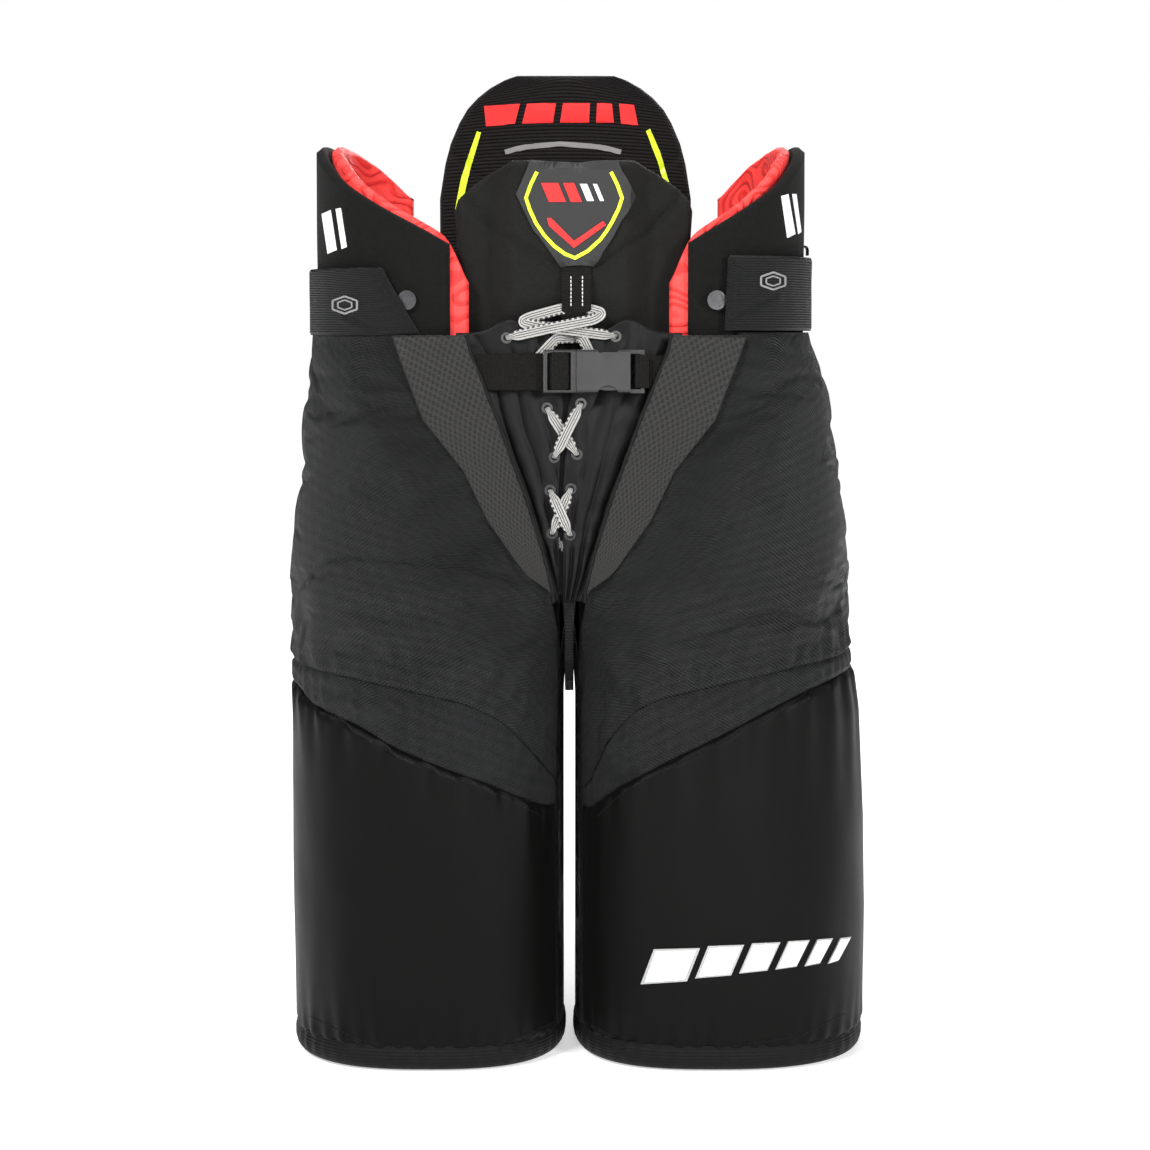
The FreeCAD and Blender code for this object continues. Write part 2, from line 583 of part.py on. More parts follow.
# insert: ladder frame with three bars and a guide tongue; the two prongs are separate springy arms
fr = box(-17.2, XB - 0.3, -7.4, -3.4, -hb, hb)
fr = rounded(fr, 1.4, lambda e: abs(e.tangentAt(e.FirstParameter).x) > 0.9)
fr = fr.cut(box(-14.6, -8.6, -12, 2, -hb + 1.8, hb - 1.8)).cut(box(-3.4, 1.2, -12, 2, -hb + 1.8, hb - 1.8))
fr = fr.cut(box(-8.7, -3.3, -12, -5.6, -hb + 1.8, hb - 1.8))
fr = fr.fuse(box(XB - 1.0, 30.0, -6.6, -3.2, -3.0, 3.0)).removeSplitter()
save("buckle_insert", fly_place(fr, 0, BZ, 0))
for name, sgn in (("upper", 1), ("lower", -1)):
    arm = [V(XB + 0.1, 0, 11.6), V(XB + 16, 0, 12.2), V(XB + 18.5, 0, 12.7), V(XB + 27, 0, 12.7), V(XB + 29.5, 0, 9.6), V(XB + 29.5, 0, 7.6), V(XB + 24, 0, 7.4), V(XB + 17, 0, 9.0), V(XB + 0.1, 0, 9.0)]
    arm = [V(p.x, -3.2, sgn * p.z) for p in arm]
    a = Part.Face(Part.makePolygon(arm + arm[:1])).extrude(V(0, -3.4, 0))
    save("buckle_prong_" + name, fly_place(a, 0, BZ, 0))


# ---------------------------------------------------------------- lace: one cord through every eyelet
F, B, O = N_FLY + 2.3, N_FLY - 3.5, N_FLY + 5.8


def through(p, *ns):
    return [(p[0], p[1], n) for n in ns]


def lace_route():
    """(x, z, n) from one end behind the lowest eyelets, up to the keeper on the belly pad and back down to the other end."""
    r, l = EYELETS["right"], EYELETS["left"]
    up = [(-5.0, 359.0, B)] + through(r[0], B, F) + through(l[1], F, B) + through(l[2], B, F) + through(r[3], F, B) + through(r[4], B, F)
    up += [(-8.0, 499.0, F + 0.3), (0.6, 498.0, -6.5)] + through(l[5], B, F)
    top = [(-27.0, 509.5, -0.9), (-32.5, 513.5, -1.4), (-27.0, 520.5, -2.4), (-10.0, 527.5, -2.6), (19.0, 526.5, -2.6), (25.0, 520.0, -0.8), (20.0, 514.2, 0.9), (-13.5, 507.0, 2.3)]
    mid3 = ((r[1][0] + l[0][0]) / 2, (r[1][1] + l[0][1]) / 2, O)
    mid2 = ((r[2][0] + l[3][0]) / 2, (r[2][1] + l[3][1]) / 2, O)
    down = through(r[5], F, B) + [(0.6, 500.5, -9.9), (8.8, 499.0, F + 0.3)] + through(l[4], F, B) + through(l[3], B, F) + [mid2] + through(r[2], F, B)
    down += through(r[1], B, F) + [mid3] + through(l[0], F, B) + [(-4.0, 356.0, B)]
    return up + top + down


def pipe(points, radius, bend):
    """A tube along straight runs joined by tangent arcs."""
    P = [fly_pt(x, z, n) for x, z, n in points]
    edges, start, small = [], P[0], 1e9
    for a, b, c in zip(P, P[1:], P[2:]):
        u, v = (b - a).normalize(), (c - b).normalize()
        turn = u.getAngle(v)
        if turn < 1e-3:
            continue
        l = min((b - a).Length, (c - b).Length) * 0.45
        rad = min(l / math.tan(turn / 2), bend)
        k = rad * math.tan(turn / 2)
        s, e = b - u * k, b + v * k
        bis = (v - u).normalize()
        m = b + bis * (rad / math.cos(turn / 2) - rad)
        if (s - start).Length > 1e-4:
            edges.append(Part.makeLine(start, s))
        edges.append(Part.Arc(s, m, e).toShape())
        start, small = e, min(small, rad)
    edges.append(Part.makeLine(start, P[-1]))
    w = Part.Wire(edges)
    prof = Part.Wire([Part.makeCircle(radius, P[0], P[1] - P[0])])
    s = w.makePipeShell([prof], True, False)
    print("PIPE length", round(w.Length, 1), "smallest radius", round(small, 2), "volume ratio", round(s.Volume / (math.pi * radius ** 2 * w.Length), 4), s.isValid())
    return s


save("lace", pipe(lace_route(), LACE_R, 5.0))

# ---------------------------------------------------------------- put the middle of the whole box on the origin, and write
lo, hi = [1e9] * 3, [-1e9] * 3
for shape in MADE.values():
    for v in shape.tessellate(0.3)[0]:
        for i in range(3):
            lo[i], hi[i] = min(lo[i], v[i]), max(hi[i], v[i])
SHIFT = V(-round((lo[0] + hi[0]) / 2, 3), -round((lo[1] + hi[1]) / 2, 3), -round(lo[2], 3))
print("SHIFT", [SHIFT.x, SHIFT.y, SHIFT.z], "size", [round(h - l, 2) for h, l in zip(hi, lo)])
for name, shape in MADE.items():
    moved = shape.copy()
    moved.translate(SHIFT)
    moved.exportStep("parts/%s.step" % name)
for side, (p, t) in TAB_AXES.items():
    print("TAB", side, [round(c, 3) for c in p + SHIFT], [round(c, 5) for c in t])
for sgn in (1, -1):
    q = fly_place(Part.Vertex(V(XB, -4.9, sgn * 10.3)), 0, BZ, 0).Point + SHIFT
    print("PRONG", sgn, [round(c, 3) for c in q], "axis", [0, round(-math.cos(TILT), 6), round(math.sin(TILT), 6)])
for side in SIDES:
    a, b = hip_pt(side, s_of_x(side, 68, 500), 500, 3.6) + SHIFT, hip_pt(side, 0.88, 500, 3.6) + SHIFT
    print("HIP", side, [round(c, 3) for c in a], [round(c, 3) for c in b])
    q = leg_pt(side, 0, 0, 8.0) + SHIFT
    print("HEM", side, [round(c, 3) for c in q], "crease", round(Y_CREASE - 2.5 + SHIFT.y, 3), Z_HINGE)
q = V(0, y_at(0, 500, 3.8, True), Z_PAD) + SHIFT
print("SPINE", [round(c, 3) for c in q])
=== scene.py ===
import bpy
import bmesh
import math
import numpy as np
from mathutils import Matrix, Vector
from mathutils.bvhtree import BVHTree
from mathutils.geometry import delaunay_2d_cdt


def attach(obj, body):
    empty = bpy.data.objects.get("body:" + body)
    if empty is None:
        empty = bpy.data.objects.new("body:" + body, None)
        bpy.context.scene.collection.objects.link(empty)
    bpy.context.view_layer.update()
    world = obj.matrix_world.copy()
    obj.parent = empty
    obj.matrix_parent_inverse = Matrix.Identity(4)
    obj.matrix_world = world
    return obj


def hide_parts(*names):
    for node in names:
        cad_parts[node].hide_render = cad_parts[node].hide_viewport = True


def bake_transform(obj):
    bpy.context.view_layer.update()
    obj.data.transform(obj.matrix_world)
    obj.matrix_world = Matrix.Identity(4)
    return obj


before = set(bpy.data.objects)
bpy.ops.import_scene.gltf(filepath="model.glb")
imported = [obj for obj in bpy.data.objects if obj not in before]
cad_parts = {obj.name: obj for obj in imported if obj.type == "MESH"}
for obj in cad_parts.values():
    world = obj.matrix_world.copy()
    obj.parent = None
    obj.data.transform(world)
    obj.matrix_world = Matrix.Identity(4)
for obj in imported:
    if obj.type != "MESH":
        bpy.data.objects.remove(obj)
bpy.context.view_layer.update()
scene = bpy.context.scene
RNG = np.random.RandomState(7)

# ------------------------------------------------------------------ camera (mm, before the shift that centres the box)
DX, DY = -6.479, 2.953
CAM = np.array([4.0, -2000.0, 500.0])
TILT, FOCAL = math.radians(4.856), 2813.0
cam_data = bpy.data.cameras.new("camera")
cam = bpy.data.objects.new("camera", cam_data)
scene.collection.objects.link(cam)
cam.location = ((CAM[0] + DX) / 1000, (CAM[1] + DY) / 1000, CAM[2] / 1000)
cam.rotation_euler = (math.pi / 2 - TILT, 0, 0)
cam_data.lens, cam_data.sensor_width = FOCAL / 1150 * 36, 36
cam_data.clip_end = 20
scene.camera = cam


def ray(px, py):
    a, b = (px - 575) / FOCAL, -(py - 575) / FOCAL
    return np.array([a, math.cos(TILT) + b * math.sin(TILT), -math.sin(TILT) + b * math.cos(TILT)])


def at_y(px, py, y):
    r = ray(px, py)
    p = CAM + r * (y - CAM[1]) / r[1]
    return p[0], p[2]


# ------------------------------------------------------------------ the pants' outline (mm, the same numbers as the CAD)
SIDES = {"right": -1, "left": 1}
OUTER = {
    "right": [(0, 193), (100, 194), (240, 195), (283, 194), (320, 191), (369, 187), (412, 183), (455, 180), (500, 180), (520, 180)],
    "left": [(0, 206), (100, 208), (164, 207), (240, 203), (283, 197), (320, 192), (369, 188), (412, 183), (455, 176), (500, 168), (520, 168)],
}
CXT = [(0, 99), (329, 98), (400, 93), (455, 88), (476, 85), (500, 75), (520, 75)]
YF = [(0, -118), (120, -122), (250, -124), (329, -122), (505, -107.6)]
YB = [(0, 100), (100, 104), (250, 112), (329, 120), (400, 117), (455, 108), (500, 99), (520, 97)]
N_OUT = [(0, 2.5), (329, 2.5), (500, 2.35)]
N_IN = [(0, 2.7), (200, 3.2), (258, 3.9), (290, 5.5), (330, 9), (360, 12), (520, 12)]
X_IN = [(0, 5), (250, 5), (275, 3.5), (310, 1.5), (340, 0), (520, 0)]


def tab(t, z):
    a = np.array(t, float)
    return np.interp(z, a[:, 0], a[:, 1])


def body_pt(side, phi, z, d=0.0):
    """Points of one half: phi -90 front, 0 outer side, 90 back, 180 inner side (degrees)."""
    phi, z = np.broadcast_arrays(np.asarray(phi, float), np.asarray(z, float))
    cx, xo, xi = tab(CXT, z), tab(OUTER[side], z), tab(X_IN, z)
    yf, yb = tab(YF, z), tab(YB, z)
    cy, hy = (yf + yb) / 2, (yb - yf) / 2
    a = np.radians(phi)
    c, s = np.cos(a), np.sin(a)
    n = np.where(c >= 0, tab(N_OUT, z), tab(N_IN, z))
    hx = np.where(c >= 0, xo - cx, cx - xi)
    px = hx * np.sign(c) * np.abs(c) ** (2 / n)
    py = hy * np.sign(s) * np.abs(s) ** (2 / n)
    gx = np.sign(c) * (np.abs(px) / hx) ** (n - 1) / hx
    gy = np.sign(s) * (np.abs(py) / hy) ** (n - 1) / hy
    g = np.hypot(gx, gy) + 1e-9
    return np.stack([SIDES[side] * (cx + px - d * gx / g), cy + py - d * gy / g, z], -1)


def hip_pt(side, s, z, d=0.0, zref=None):
    """s -1 front middle, 0 end of the flat front, 1 end of the outer curve, 2 back middle."""
    s, z = np.broadcast_arrays(np.asarray(s, float), np.asarray(z, float))
    zz = z if zref is None else np.full_like(z, zref)
    cx, yf, yb = tab(CXT, zz), tab(YF, zz), tab(YB, zz)
    out = body_pt(side, -90 + 180 * np.clip(s, 0.0005, 0.9995), zz, d)
    front = np.stack([SIDES[side] * cx * (1 + s), yf + d, z], -1)
    back = np.stack([SIDES[side] * cx * (2 - s), yb - d, z], -1)
    out = np.where((s <= 0)[..., None], front, np.where((s >= 1)[..., None], back, out))
    out[..., 2] = z
    return out


def s_at_x(side, x, z):
    cx, xo, no = tab(CXT, z), tab(OUTER[side], z), tab(N_OUT, z)
    x = np.asarray(x, float)
    r = np.clip((x - cx) / (xo - cx), 0, 1)
    return np.where(x <= cx, x / cx - 1, 0.5 - np.degrees(np.arccos(r ** (no / 2))) / 180)


def normals(P, wrap=False):
    """Outward is made to point away from the middle of the pants by the caller."""
    if wrap:
        du = np.roll(P, -1, 0) - np.roll(P, 1, 0)
    else:
        du = np.gradient(P, axis=0)
    n = np.cross(du, np.gradient(P, axis=1))
    return n / (np.linalg.norm(n, axis=-1, keepdims=True) + 1e-12)


def fbm(x, y, seed, octaves=4):
    """Smooth seeded noise from sums of sines, about -1 to 1."""
    r = np.random.RandomState(seed)
    out, amp, tot = 0, 1.0, 0
    for o in range(octaves):
        for k in range(4):
            a = r.rand() * 2 * math.pi
            f = 2 ** o * (0.7 + 0.6 * r.rand())
            out = out + amp * np.sin(f * (x * math.cos(a) + y * math.sin(a)) + r.rand() * 6.28)
            tot += amp * 0.5
        amp *= 0.55
    return out / tot


# ------------------------------------------------------------------ materials
def mat_new(name):
    m = bpy.data.materials.new(name)
    m.use_nodes = True
    nt = m.node_tree
    nt.nodes.clear()
    out = nt.nodes.new("ShaderNodeOutputMaterial")
    bs = nt.nodes.new("ShaderNodeBsdfPrincipled")
    nt.links.new(bs.outputs[0], out.inputs[0])
    return m, nt, bs


class G:
    """Short-hand for building shader graphs."""
    def __init__(self, nt):
        self.nt = nt

    def node(self, kind, **props):
        n = self.nt.nodes.new(kind)
        for k, v in props.items():
            setattr(n, k, v)
        return n

    def put(self, sock, v):
        if isinstance(v, bpy.types.NodeSocket):
            self.nt.links.new(v, sock)
        else:
            sock.default_value = v

    def math(self, op, a, b=0.0, c=0.0, clamp=False):
        n = self.node("ShaderNodeMath", operation=op, use_clamp=clamp)
        self.put(n.inputs[0], a)
        self.put(n.inputs[1], b)
        self.put(n.inputs[2], c)
        return n.outputs[0]

    def fab(self):
        a = self.node("ShaderNodeAttribute", attribute_type="GEOMETRY", attribute_name="fab")
        s = self.node("ShaderNodeSeparateXYZ")
        self.nt.links.new(a.outputs["Vector"], s.inputs[0])
        return s.outputs[0], s.outputs[1], s.outputs[2], a.outputs["Vector"]

    def pos(self):
        t = self.node("ShaderNodeTexCoord")
        return t.outputs["Object"]

    def noise(self, vec, scale, detail=3.0, rough=0.55):
        n = self.node("ShaderNodeTexNoise")
        self.put(n.inputs["Vector"], vec)
        n.inputs["Scale"].default_value = scale
        n.inputs["Detail"].default_value = detail
        n.inputs["Roughness"].default_value = rough
        return n.outputs["Fac"]

    def ramp(self, fac, stops):
        n = self.node("ShaderNodeValToRGB")
        self.put(n.inputs[0], fac)
        el = n.color_ramp.elements
        while len(el) < len(stops):
            el.new(0.5)
        for e, (p, c) in zip(el, stops):
            e.position, e.color = p, (*c, 1)
        return n.outputs[0]

    def mapr(self, v, a, b, c, d):
        n = self.node("ShaderNodeMapRange")
        self.put(n.inputs[0], v)
        for i, x in enumerate((a, b, c, d)):
            n.inputs[i + 1].default_value = x
        return n.outputs[0]

    def bump(self, h, strength, dist, prev=None):
        n = self.node("ShaderNodeBump")
        n.inputs["Strength"].default_value = strength
        n.inputs["Distance"].default_value = dist
        self.put(n.inputs["Height"], h)
        if prev is not None:
            self.nt.links.new(prev, n.inputs["Normal"])
        return n.outputs[0]

    def sin(self, v, freq, phase=0.0):
        return self.math("SINE", self.math("MULTIPLY_ADD", v, freq, phase))


def mul(c, k):
    return tuple(min(1.0, x * k) for x in c)


DARK = 0.30


def fabric(name, col, rough=0.6, sheen=0.15, pitch=(0.0011, 0.0011), weave=0.5, dist=0.0003, var=0.18, kind="plain", wr=0.0, spec=0.4, fuzz=0.0):
    """Cloth whose threads follow the fab attribute (metres along the cloth)."""
    m, nt, bs = mat_new(name)
    g = G(nt)
    u, v, w, vec = g.fab()
    ku, kv = 2 * math.pi / pitch[0], 2 * math.pi / pitch[1]
    if kind == "plain":
        h = g.math("MULTIPLY", g.sin(u, ku), g.sin(v, kv))
    elif kind == "rib":        # ribs across v
        h = g.math("ADD", g.sin(v, kv), g.math("MULTIPLY", g.sin(u, ku), 0.3))
    elif kind == "twill":
        h = g.sin(g.math("ADD", u, g.math("MULTIPLY", v, 0.6)), ku)
    elif kind == "crosshatch":
        a = g.math("MULTIPLY", g.sin(u, ku), g.sin(v, kv))
        b = g.math("ADD", g.sin(v, kv * 0.25), g.math("MULTIPLY", g.sin(u, ku * 0.2), 0.5))
        h = g.math("ADD", a, g.math("MULTIPLY", b, 0.6))
    elif kind == "knit":
        z = g.sin(g.math("ADD", v, g.math("MULTIPLY", g.sin(u, ku), pitch[1] * 0.25)), kv)
        h = g.math("ADD", z, g.math("MULTIPLY", g.noise(vec, 900.0, 2.0), 1.2))
    col = mul(col, DARK) if max(col) < 0.2 else col
    big = g.noise(g.pos(), 9.0, 4.0)
    fine = g.noise(g.pos(), 260.0, 2.0)
    tone = g.math("ADD", g.math("MULTIPLY", big, 0.6), g.math("MULTIPLY", fine, 0.4))
    tone = g.math("ADD", tone, g.math("MULTIPLY", h, weave * 0.2))
    lo, hi = mul(col, 1 - var), mul(col, 1 + var)
    c = g.ramp(tone, [(0.28, lo), (0.72, hi)])
    nt.links.new(c, bs.inputs["Base Color"])
    r = g.mapr(big, 0.3, 0.7, rough - 0.06, rough + 0.06)
    nt.links.new(r, bs.inputs["Roughness"])
    nrm = g.bump(h, weave, dist)
    if wr:
        nrm = g.bump(g.noise(g.pos(), 45.0, 5.0, 0.6), wr, 0.002, nrm)
    if fuzz:
        nrm = g.bump(g.noise(g.pos(), 1400.0, 2.0), fuzz, 0.0004, nrm)
    nt.links.new(nrm, bs.inputs["Normal"])
    bs.inputs["Sheen Weight"].default_value = sheen * 0.12
    bs.inputs["Sheen Roughness"].default_value = 0.4
    bs.inputs["Specular IOR Level"].default_value = spec * 0.32
    return m


def plastic(name, col, rough=0.35, grain=0.25, scale=700.0, spec=0.5, metal=0.0, var=0.1):
    m, nt, bs = mat_new(name)
    g = G(nt)
    n = g.noise(g.pos(), scale, 3.0)
    b = g.noise(g.pos(), 40.0, 4.0)
    c = g.ramp(b, [(0.3, mul(col, 1 - var)), (0.7, mul(col, 1 + var))])
    nt.links.new(c, bs.inputs["Base Color"])
    nt.links.new(g.mapr(b, 0.3, 0.7, rough - 0.05, rough + 0.07), bs.inputs["Roughness"])
    nt.links.new(g.bump(n, grain, 0.0002), bs.inputs["Normal"])
    bs.inputs["Specular IOR Level"].default_value = spec
    bs.inputs["Metallic"].default_value = metal
    return m


M = {}
M["upper"] = fabric("upper_nylon", (0.036, 0.037, 0.039), 0.50, 0.12, (0.0022, 0.0022), 0.9, 0.0006, 0.26, "crosshatch", 0.14, 0.55)
M["cover"] = fabric("cover_nylon", (0.0060, 0.0058, 0.0054), 0.46, 0.10, (0.0009, 0.0009), 0.30, 0.0002, 0.12, "twill", 0.05, 0.32)
M["fly"] = fabric("fly_nylon", (0.0075, 0.0075, 0.0078), 0.45, 0.20, (0.0010, 0.0010), 0.25, 0.0002, 0.14, "plain", 0.10, 0.5)
M["rear"] = fabric("rear_nylon", (0.031, 0.031, 0.033), 0.52, 0.12, (0.0022, 0.0022), 0.8, 0.0005, 0.24, "crosshatch", 0.14, 0.5)
M["hem"] = fabric("hem_binding_cloth", (0.016, 0.016, 0.016), 0.6, 0.12, (0.0011, 0.0022), 0.5, 0.0003, 0.2, "rib", 0.1)
M["lining"] = fabric("lining_taffeta", (0.022, 0.022, 0.024), 0.45, 0.1, (0.0009, 0.0009), 0.2, 0.0002, 0.15, "plain", 0.25)
M["belly"] = fabric("belly_knit", (0.030, 0.030, 0.027), 0.72, 0.25, (0.0014, 0.0012), 0.6, 0.0003, 0.30, "knit", 0.08, 0.3, 0.5)
M["spine"] = fabric("spine_knit", (0.034, 0.030, 0.030), 0.68, 0.25, (0.0016, 0.0026), 0.8, 0.0006, 0.24, "rib", 0.05, 0.3, 0.3)
M["hip"] = fabric("hip_knit", (0.021, 0.0205, 0.0195), 0.85, 0.35, (0.0012, 0.0012), 0.4, 0.0002, 0.3, "knit", 0.08, 0.2, 0.8)
M["web"] = fabric("webbing_weave", (0.034, 0.032, 0.026), 0.55, 0.1, (0.0021, 0.0011), 1.0, 0.0007, 0.25, "rib", 0.0)
M["tab"] = fabric("ribbed_nylon", (0.025, 0.0254, 0.0264), 0.5, 0.25, (0.0009, 0.0017), 0.8, 0.0004, 0.16, "rib", 0.10, 0.45)
M["hook"] = fabric("hook_tape", (0.014, 0.014, 0.014), 0.6, 0.1, (0.0016, 0.0016), 1.0, 0.0009, 0.3, "plain")
M["thread"] = fabric("thread_black", (0.030, 0.030, 0.031), 0.5, 0.1, (0.0006, 0.0006), 0.4, 0.0001, 0.2, "twill")
M["thread_white"] = fabric("thread_white", (0.66, 0.65, 0.6), 0.6, 0.1, (0.0006, 0.0006), 0.4, 0.0001, 0.1, "twill")
M["plastic"] = plastic("buckle_acetal", (0.009, 0.009, 0.0095), 0.38, 0.35, 1100.0)
M["rubber"] = plastic("badge_rubber", (0.014, 0.014, 0.014), 0.55, 0.5, 1600.0, 0.35)
M["neon"] = plastic("neon_ink", (0.62, 0.86, 0.02), 0.45, 0.2, 900.0, 0.4, 0.0, 0.05)
M["redink"] = plastic("red_ink", (0.72, 0.012, 0.012), 0.5, 0.3, 900.0, 0.4, 0.0, 0.06)
M["white"] = plastic("white_ink", (0.80, 0.80, 0.80), 0.45, 0.2, 900.0, 0.4, 0.0, 0.04)
M["greyink"] = plastic("grey_ink", (0.20, 0.20, 0.20), 0.5, 0.2, 900.0, 0.4, 0.0, 0.06)
M["silver"] = plastic("silver_edge", (0.42, 0.43, 0.42), 0.28, 0.15, 900.0, 0.6, 0.55, 0.06)
M["steel"] = plastic("button_steel", (0.16, 0.16, 0.165), 0.25, 0.1, 500.0, 0.6, 1.0, 0.1)
M["enamel"] = plastic("eyelet_enamel", (0.012, 0.012, 0.012), 0.25, 0.1, 500.0, 0.6, 0.3, 0.2)


def mesh_cloth():
    m, nt, bs = mat_new("vent_mesh")
    g = G(nt)
    u, v, w, vec = g.fab()
    k = 2 * math.pi / 0.0034
    a = g.sin(g.math("ADD", u, g.math("MULTIPLY", v, 0.55)), k)
    b = g.sin(g.math("SUBTRACT", u, g.math("MULTIPLY", v, 0.55)), k)
    holes = g.math("MULTIPLY", g.math("ADD", a, b), 0.5)
    holes = g.mapr(holes, 0.15, 0.65, 1.0, 0.0)
    big = g.noise(g.pos(), 12.0, 4.0)
    tone = g.math("MULTIPLY", holes, g.mapr(big, 0.3, 0.7, 0.8, 1.1))
    c = g.ramp(tone, [(0.0, (0.002, 0.002, 0.002)), (0.95, (0.0095, 0.0090, 0.0078))])
    nt.links.new(c, bs.inputs["Base Color"])
    nrm = g.bump(holes, 0.9, 0.0006)
    nt.links.new(nrm, bs.inputs["Normal"])
    bs.inputs["Roughness"].default_value = 0.62
    bs.inputs["Sheen Weight"].default_value = 0.02
    bs.inputs["Specular IOR Level"].default_value = 0.35
    return m


def red_liner():
    m, nt, bs = mat_new("red_liner")
    g = G(nt)
    p = g.pos()
    n = g.noise(p, 22.0, 1.5, 0.4)
    lines = g.math("SINE", g.math("MULTIPLY", n, 95.0))
    soft = g.mapr(lines, -0.2, 0.9, 0.0, 1.0)
    fine = g.noise(p, 800.0, 2.0)
    tone = g.math("ADD", g.math("MULTIPLY", soft, 0.7), g.math("MULTIPLY", fine, 0.3))
    c = g.ramp(tone, [(0.1, (0.93, 0.055, 0.048)), (0.9, (0.70, 0.022, 0.020))])
    nt.links.new(c, bs.inputs["Base Color"])
    nrm = g.bump(soft, 0.7, 0.0011)
    nrm = g.bump(fine, 0.3, 0.0003, nrm)
    nt.links.new(nrm, bs.inputs["Normal"])
    bs.inputs["Roughness"].default_value = 0.6
    bs.inputs["Sheen Weight"].default_value = 0.04
    bs.inputs["Specular IOR Level"].default_value = 0.3
    return m


def lace_cloth():
    """fab: u across the lace (-1 to 1), v along it in metres."""
    m, nt, bs = mat_new("lace_weave")
    g = G(nt)
    u, v, w, vec = g.fab()
    line = lambda at, wd: g.math("LESS_THAN", g.math("ABSOLUTE", g.math("SUBTRACT", u, at)), wd)
    l = g.math("ADD", g.math("ADD", line(-0.52, 0.085), line(-0.08, 0.085)), line(0.36, 0.085), clamp=True)
    dash = g.math("MULTIPLY", g.math("GREATER_THAN", g.sin(v, 2 * math.pi / 0.0036), -0.15), line(0.84, 0.17))
    dark = g.math("ADD", l, dash, clamp=True)
    n = g.noise(g.pos(), 900.0, 2.0)
    tone = g.math("ADD", g.math("MULTIPLY", dark, 0.72), g.math("MULTIPLY", n, 0.2), clamp=True)
    c = g.ramp(tone, [(0.12, (0.50, 0.49, 0.465)), (0.55, (0.10, 0.10, 0.10)), (0.9, (0.02, 0.02, 0.02))])
    nt.links.new(c, bs.inputs["Base Color"])
    h = g.math("ADD", g.sin(v, 2 * math.pi / 0.0010), g.math("MULTIPLY", g.sin(u, 26.0), 0.8))
    nt.links.new(g.bump(h, 0.8, 0.0003), bs.inputs["Normal"])
    bs.inputs["Roughness"].default_value = 0.75
    bs.inputs["Sheen Weight"].default_value = 0.1
    return m


M["mesh"] = mesh_cloth()
M["red"] = red_liner()
M["lace"] = lace_cloth()


# ------------------------------------------------------------------ mesh helpers (points in mm before the shift)
def build(name, V, F, mat, fab=None, sub=0, smooth=True):
    me = bpy.data.meshes.new(name)
    V = np.asarray(V, float) + np.array([DX, DY, 0.0])
    me.from_pydata((V / 1000).tolist(), [], [tuple(int(i) for i in f) for f in F])
    if fab is not None:
        a = me.attributes.new("fab", "FLOAT_VECTOR", "POINT")
        a.data.foreach_set("vector", np.asarray(fab, np.float32).ravel())
    me.validate()
    me.update()
    ob = bpy.data.objects.new(name, me)
    scene.collection.objects.link(ob)
    me.materials.append(mat)
    if smooth:
        me.polygons.foreach_set("use_smooth", [True] * len(me.polygons))
    if sub:
        md = ob.modifiers.new("s", "SUBSURF")
        md.levels = md.render_levels = sub
        apply(ob)
    return ob


def apply(ob):
    dg = bpy.context.evaluated_depsgraph_get()
    dg.update()
    me = bpy.data.meshes.new_from_object(ob.evaluated_get(dg), preserve_all_data_layers=True, depsgraph=dg)
    old = ob.data
    ob.modifiers.clear()
    ob.data = me
    bpy.data.meshes.remove(old)
    ob.data.name = ob.name


def quads(nu, nv, wrap=False):
    out = []
    for i in range(nu if wrap else nu - 1):
        k = (i + 1) % nu
        for j in range(nv - 1):
            out.append((i * nv + j, k * nv + j, k * nv + j + 1, i * nv + j + 1))
    return out


def arc_uv(P):
    """Metres along both directions of a grid of points in mm."""
    du = np.concatenate([np.zeros((1, P.shape[1])), np.cumsum(np.linalg.norm(np.diff(P, axis=0), axis=-1), 0)], 0)
    dv = np.concatenate([np.zeros((P.shape[0], 1)), np.cumsum(np.linalg.norm(np.diff(P, axis=1), axis=-1), 1)], 1)
    du = du - du[du.shape[0] // 2][None]
    return np.stack([du.mean(1, keepdims=True) + 0 * du, dv, 0 * dv], -1) / 1000


def grid(name, P, mat, mask=None, wrap=False, sub=0, flip=False, fab=None):
    nu, nv = P.shape[:2]
    F = quads(nu, nv, wrap)
    if mask is not None:
        F = [f for f in F if mask[f[0] // nv, f[0] % nv]]
    if flip:
        F = [f[::-1] for f in F]
    fab = arc_uv(P) if fab is None else fab
    V = P.reshape(-1, 3)
    fb = fab.reshape(-1, 3)
    used = sorted({i for f in F for i in f})
    ix = {k: n for n, k in enumerate(used)}
    return build(name, V[used], [tuple(ix[i] for i in f) for f in F], mat, fb[used], sub)


def join(name, obs):
    bpy.ops.object.select_all(action="DESELECT")
    for o in obs:
        o.select_set(True)
    bpy.context.view_layer.objects.active = obs[0]
    bpy.ops.object.join()
    obs[0].name = name
    return obs[0]


def weld(ob, dist=0.00002):
    bm = bmesh.new()
    bm.from_mesh(ob.data)
    bmesh.ops.remove_doubles(bm, verts=bm.verts, dist=dist)
    bmesh.ops.recalc_face_normals(bm, faces=bm.faces)
    bm.to_mesh(ob.data)
    bm.free()
    ob.data.polygons.foreach_set("use_smooth", [True] * len(ob.data.polygons))
    return ob


def bvh_of(*obs):
    V, F = [], []
    for o in obs:
        k = len(V)
        V += [tuple(v.co) for v in o.data.vertices]
        F += [tuple(i + k for i in p.vertices) for p in o.data.polygons]
    return BVHTree.FromPolygons(V, F)


SH = np.array([DX, DY, 0.0])


